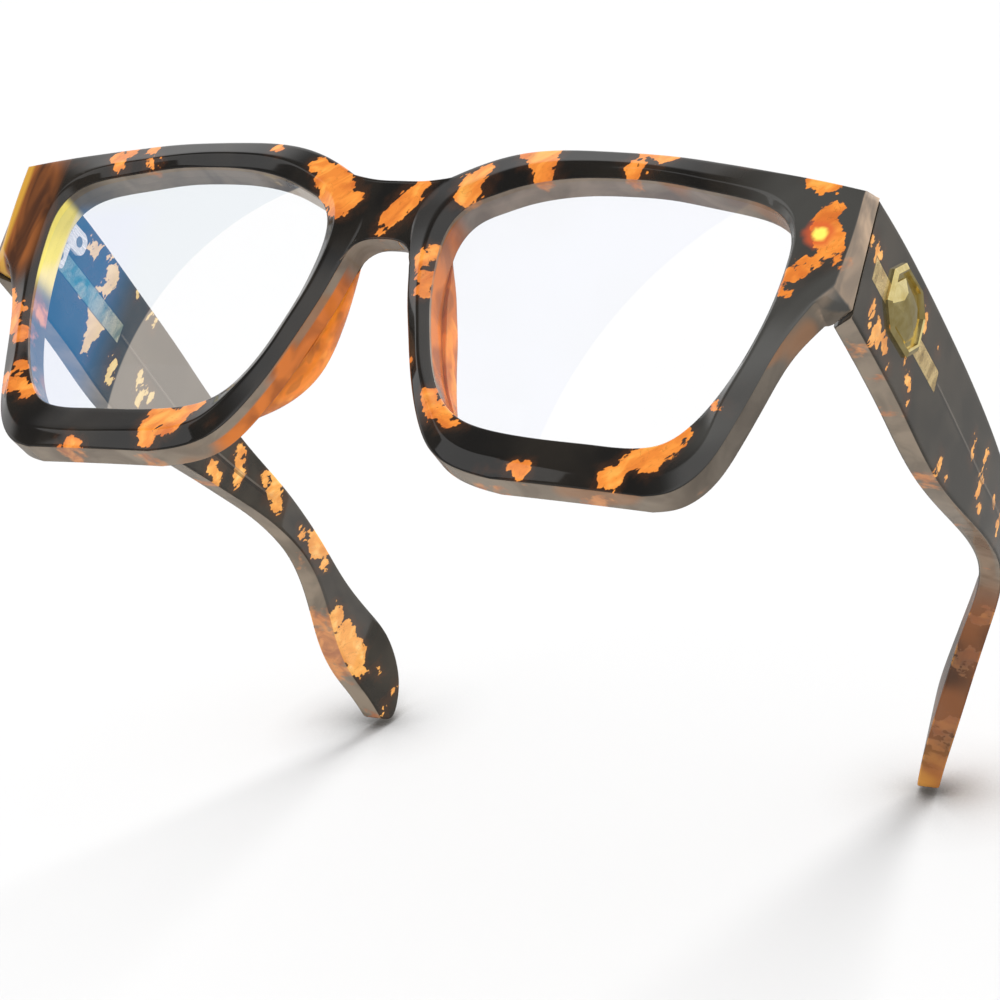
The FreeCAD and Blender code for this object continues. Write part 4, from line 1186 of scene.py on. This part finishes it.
def soften(obj):
    """Small bevel on the sharp edges of a CAD piece."""
    bevel = obj.modifiers.new("soft_edges", "BEVEL")
    bevel.width = 0.00012
    bevel.segments = 2
    bevel.limit_method = "ANGLE"
    bevel.angle_limit = math.radians(40)


weight_normals(front)
bind(front, "front", "front_frame", "acetate", front_acetate)
for side, tag in ((1, "left"), (-1, "right")):
    body = tag + "_temple"
    weight_normals(temples[side])
    bind(temples[side], body, "temple_" + tag, "acetate", temple_acetate)
    bind(pads[side], "front", "nose_pad_" + tag, "pad_acetate", pad_acetate)
    bind(lenses[side], "front", "lens_" + tag, "lens", lens_coats[side])
    bind(ornaments[side], body, "temple_ornament_" + tag, "gold", pale_gold, dark_recess)
    # CAD pieces that stay as they are
    for part, mat in (("front_hinge_", hinge_plate), ("temple_hinge_", hinge_plate),
                      ("hinge_screw_", screw_steel), ("front_hinge_screws_", screw_steel),
                      ("temple_hinge_screws_", screw_steel), ("core_wire_", core_strip)):
        dress(NODES[part + tag], mat)
        if mat is hinge_plate:
            soften(NODES[part + tag])

# -------------------------------------------------------------- stage, metres
CAMERA_PLACE = Vector((0.204744, -0.321932, -0.182247))
# the camera's own directions
VIEW_RIGHT = Vector((0.896656, 0.359186, 0.258829))
VIEW_DOWN = Vector((0.075631, 0.451760, -0.888928))
VIEW_AHEAD = Vector((-0.436219, 0.816638, 0.377908))
TIP_REST = Vector((0.0, 0.1445, -0.0172))     # where the temple tips touch the floor
FLOOR_NORMAL = Vector((0, -0.7597, 0.6502)).normalized()
FLOOR_GAP = 0.0006
FLOOR_SIZE = 3000.0                           # mm
FLOOR_CELLS = 12


def make_camera():
    data = bpy.data.cameras.new("camera")
    camera = bpy.data.objects.new("camera", data)
    bpy.context.scene.collection.objects.link(camera)
    turn = Matrix((VIEW_RIGHT, -VIEW_DOWN, -VIEW_AHEAD)).transposed()
    camera.matrix_world = Matrix.Translation(CAMERA_PLACE) @ turn.to_4x4()
    data.lens = 100.8
    data.sensor_width = 36.0
    data.clip_start = 0.01
    data.clip_end = 50.0
    bpy.context.scene.camera = camera


def make_floor():
    """The tilted plane the temple tips rest on."""
    across = Vector((1, 0, 0))
    along = FLOOR_NORMAL.cross(across).normalized()
    centre = (TIP_REST - FLOOR_NORMAL * FLOOR_GAP) * 1000
    offsets = [(i / FLOOR_CELLS - 0.5) * FLOOR_SIZE for i in range(FLOOR_CELLS + 1)]
    build = Build()
    build.grid([[centre + across * right + along * up for right in offsets]
                for up in offsets])
    return build.make("floor")


def pale_floor():
    """Pale ground with a painted shadow where the frame hides it, and seen only from above."""
    mat, net = material("pale_floor")
    cloud = net.noise(net.coords(scale=1.0), 3.0)
    colour = net.mix(cloud, (0.688, 0.688, 0.690), (0.696, 0.696, 0.696))
    open_side = (VIEW_AHEAD * 0.74 + VIEW_RIGHT * 0.66 - VIEW_DOWN * 0.30).normalized()
    # painted shadow: the ground darkens where the frame blocks the view towards the sun
    open_sky = net.node("AmbientOcclusion", {"Distance": 0.020, "Normal": tuple(open_side)},
                        "AO", samples=8)
    shade = open_sky.ramp(0.92, 0.50, high=0.95, smooth=False)
    colour = net.mix(shade, colour, (0.075, 0.068, 0.060))
    # dark in reflections
    glossy_ray = net.node("LightPath", output="Is Glossy Ray")
    colour = net.mix(glossy_ray * 0.78, colour, (0.05, 0.047, 0.042))
    diffuse = net.node("BsdfDiffuse", {0: colour})
    clear = net.node("BsdfTransparent")
    incoming = net.node("NewGeometry", output="Incoming")
    facing = net.node("VectorMath", {0: incoming, 1: tuple(FLOOR_NORMAL)}, "Value",
                      operation="DOT_PRODUCT")
    above = net.math("GREATER_THAN", facing, 0.0)
    net.surface(net.node("MixShader", {0: above, 1: clear, 2: diffuse}))
    return mat


make_camera()
floor = make_floor()
dress(floor, pale_floor())


# ---------------------------------------------------------------------- light
def make_world():
    """White to the camera; soft light and reflections that vary with direction."""
    world = bpy.data.worlds.new("studio")
    bpy.context.scene.world = world
    world.use_nodes = True
    net = Net(world.node_tree)
    direction = net.node("TexCoord", output="Generated")
    upward = net.node("VectorMath", {0: direction, 1: tuple(-VIEW_DOWN)}, "Value",
                      operation="DOT_PRODUCT")
    x, y, _ = net.xyz(direction)
    # reflections dim in front of the frame (-Y), less so towards +X
    ahead = (y * -1.0).ramp(0.20, 0.46)
    front_gloss = net.mix_number(x.ramp(0.05, 0.50), 0.10, 0.80)
    gloss = net.mix_number(ahead, upward.ramp(-0.6, 0.8, low=0.65, high=0.92), front_gloss)
    soft = upward.ramp(-0.7, 0.8, low=0.80, high=1.02)
    camera_ray, glossy_ray = net.node("LightPath", output=("Is Camera Ray", "Is Glossy Ray"))
    strength = net.mix_number(camera_ray, net.mix_number(glossy_ray, soft, gloss), 1.0)
    net.surface(net.node("Background", {"Strength": strength, "Color": (1, 1, 1)}), "World")


def make_light(name, kind, direction, **settings):
    data = bpy.data.lights.new(name, kind)
    for key, value in settings.items():
        setattr(data, key, value)
    light = bpy.data.objects.new(name, data)
    bpy.context.scene.collection.objects.link(light)
    light.rotation_mode = "QUATERNION"
    light.rotation_quaternion = direction.to_track_quat("-Z", "Y")
    return light


make_world()
key_direction = (VIEW_DOWN * 0.50 - VIEW_RIGHT * 0.43 - VIEW_AHEAD * 0.52).normalized()
sun = make_light("key_sun", "SUN", key_direction, energy=5.4, angle=math.radians(28))
sun.visible_glossy = False
light_target = Vector((0, 0.05, 0))
fill_place = light_target - VIEW_DOWN * 0.25 - VIEW_RIGHT * 0.75 - VIEW_AHEAD * 0.45
fill = make_light("fill_softbox", "AREA", light_target - fill_place,
                  shape="RECTANGLE", size=0.5, size_y=0.8, energy=0.8)
fill.location = fill_place

bpy.context.scene.view_settings.view_transform = "Standard"
bpy.context.scene.view_settings.look = "None"
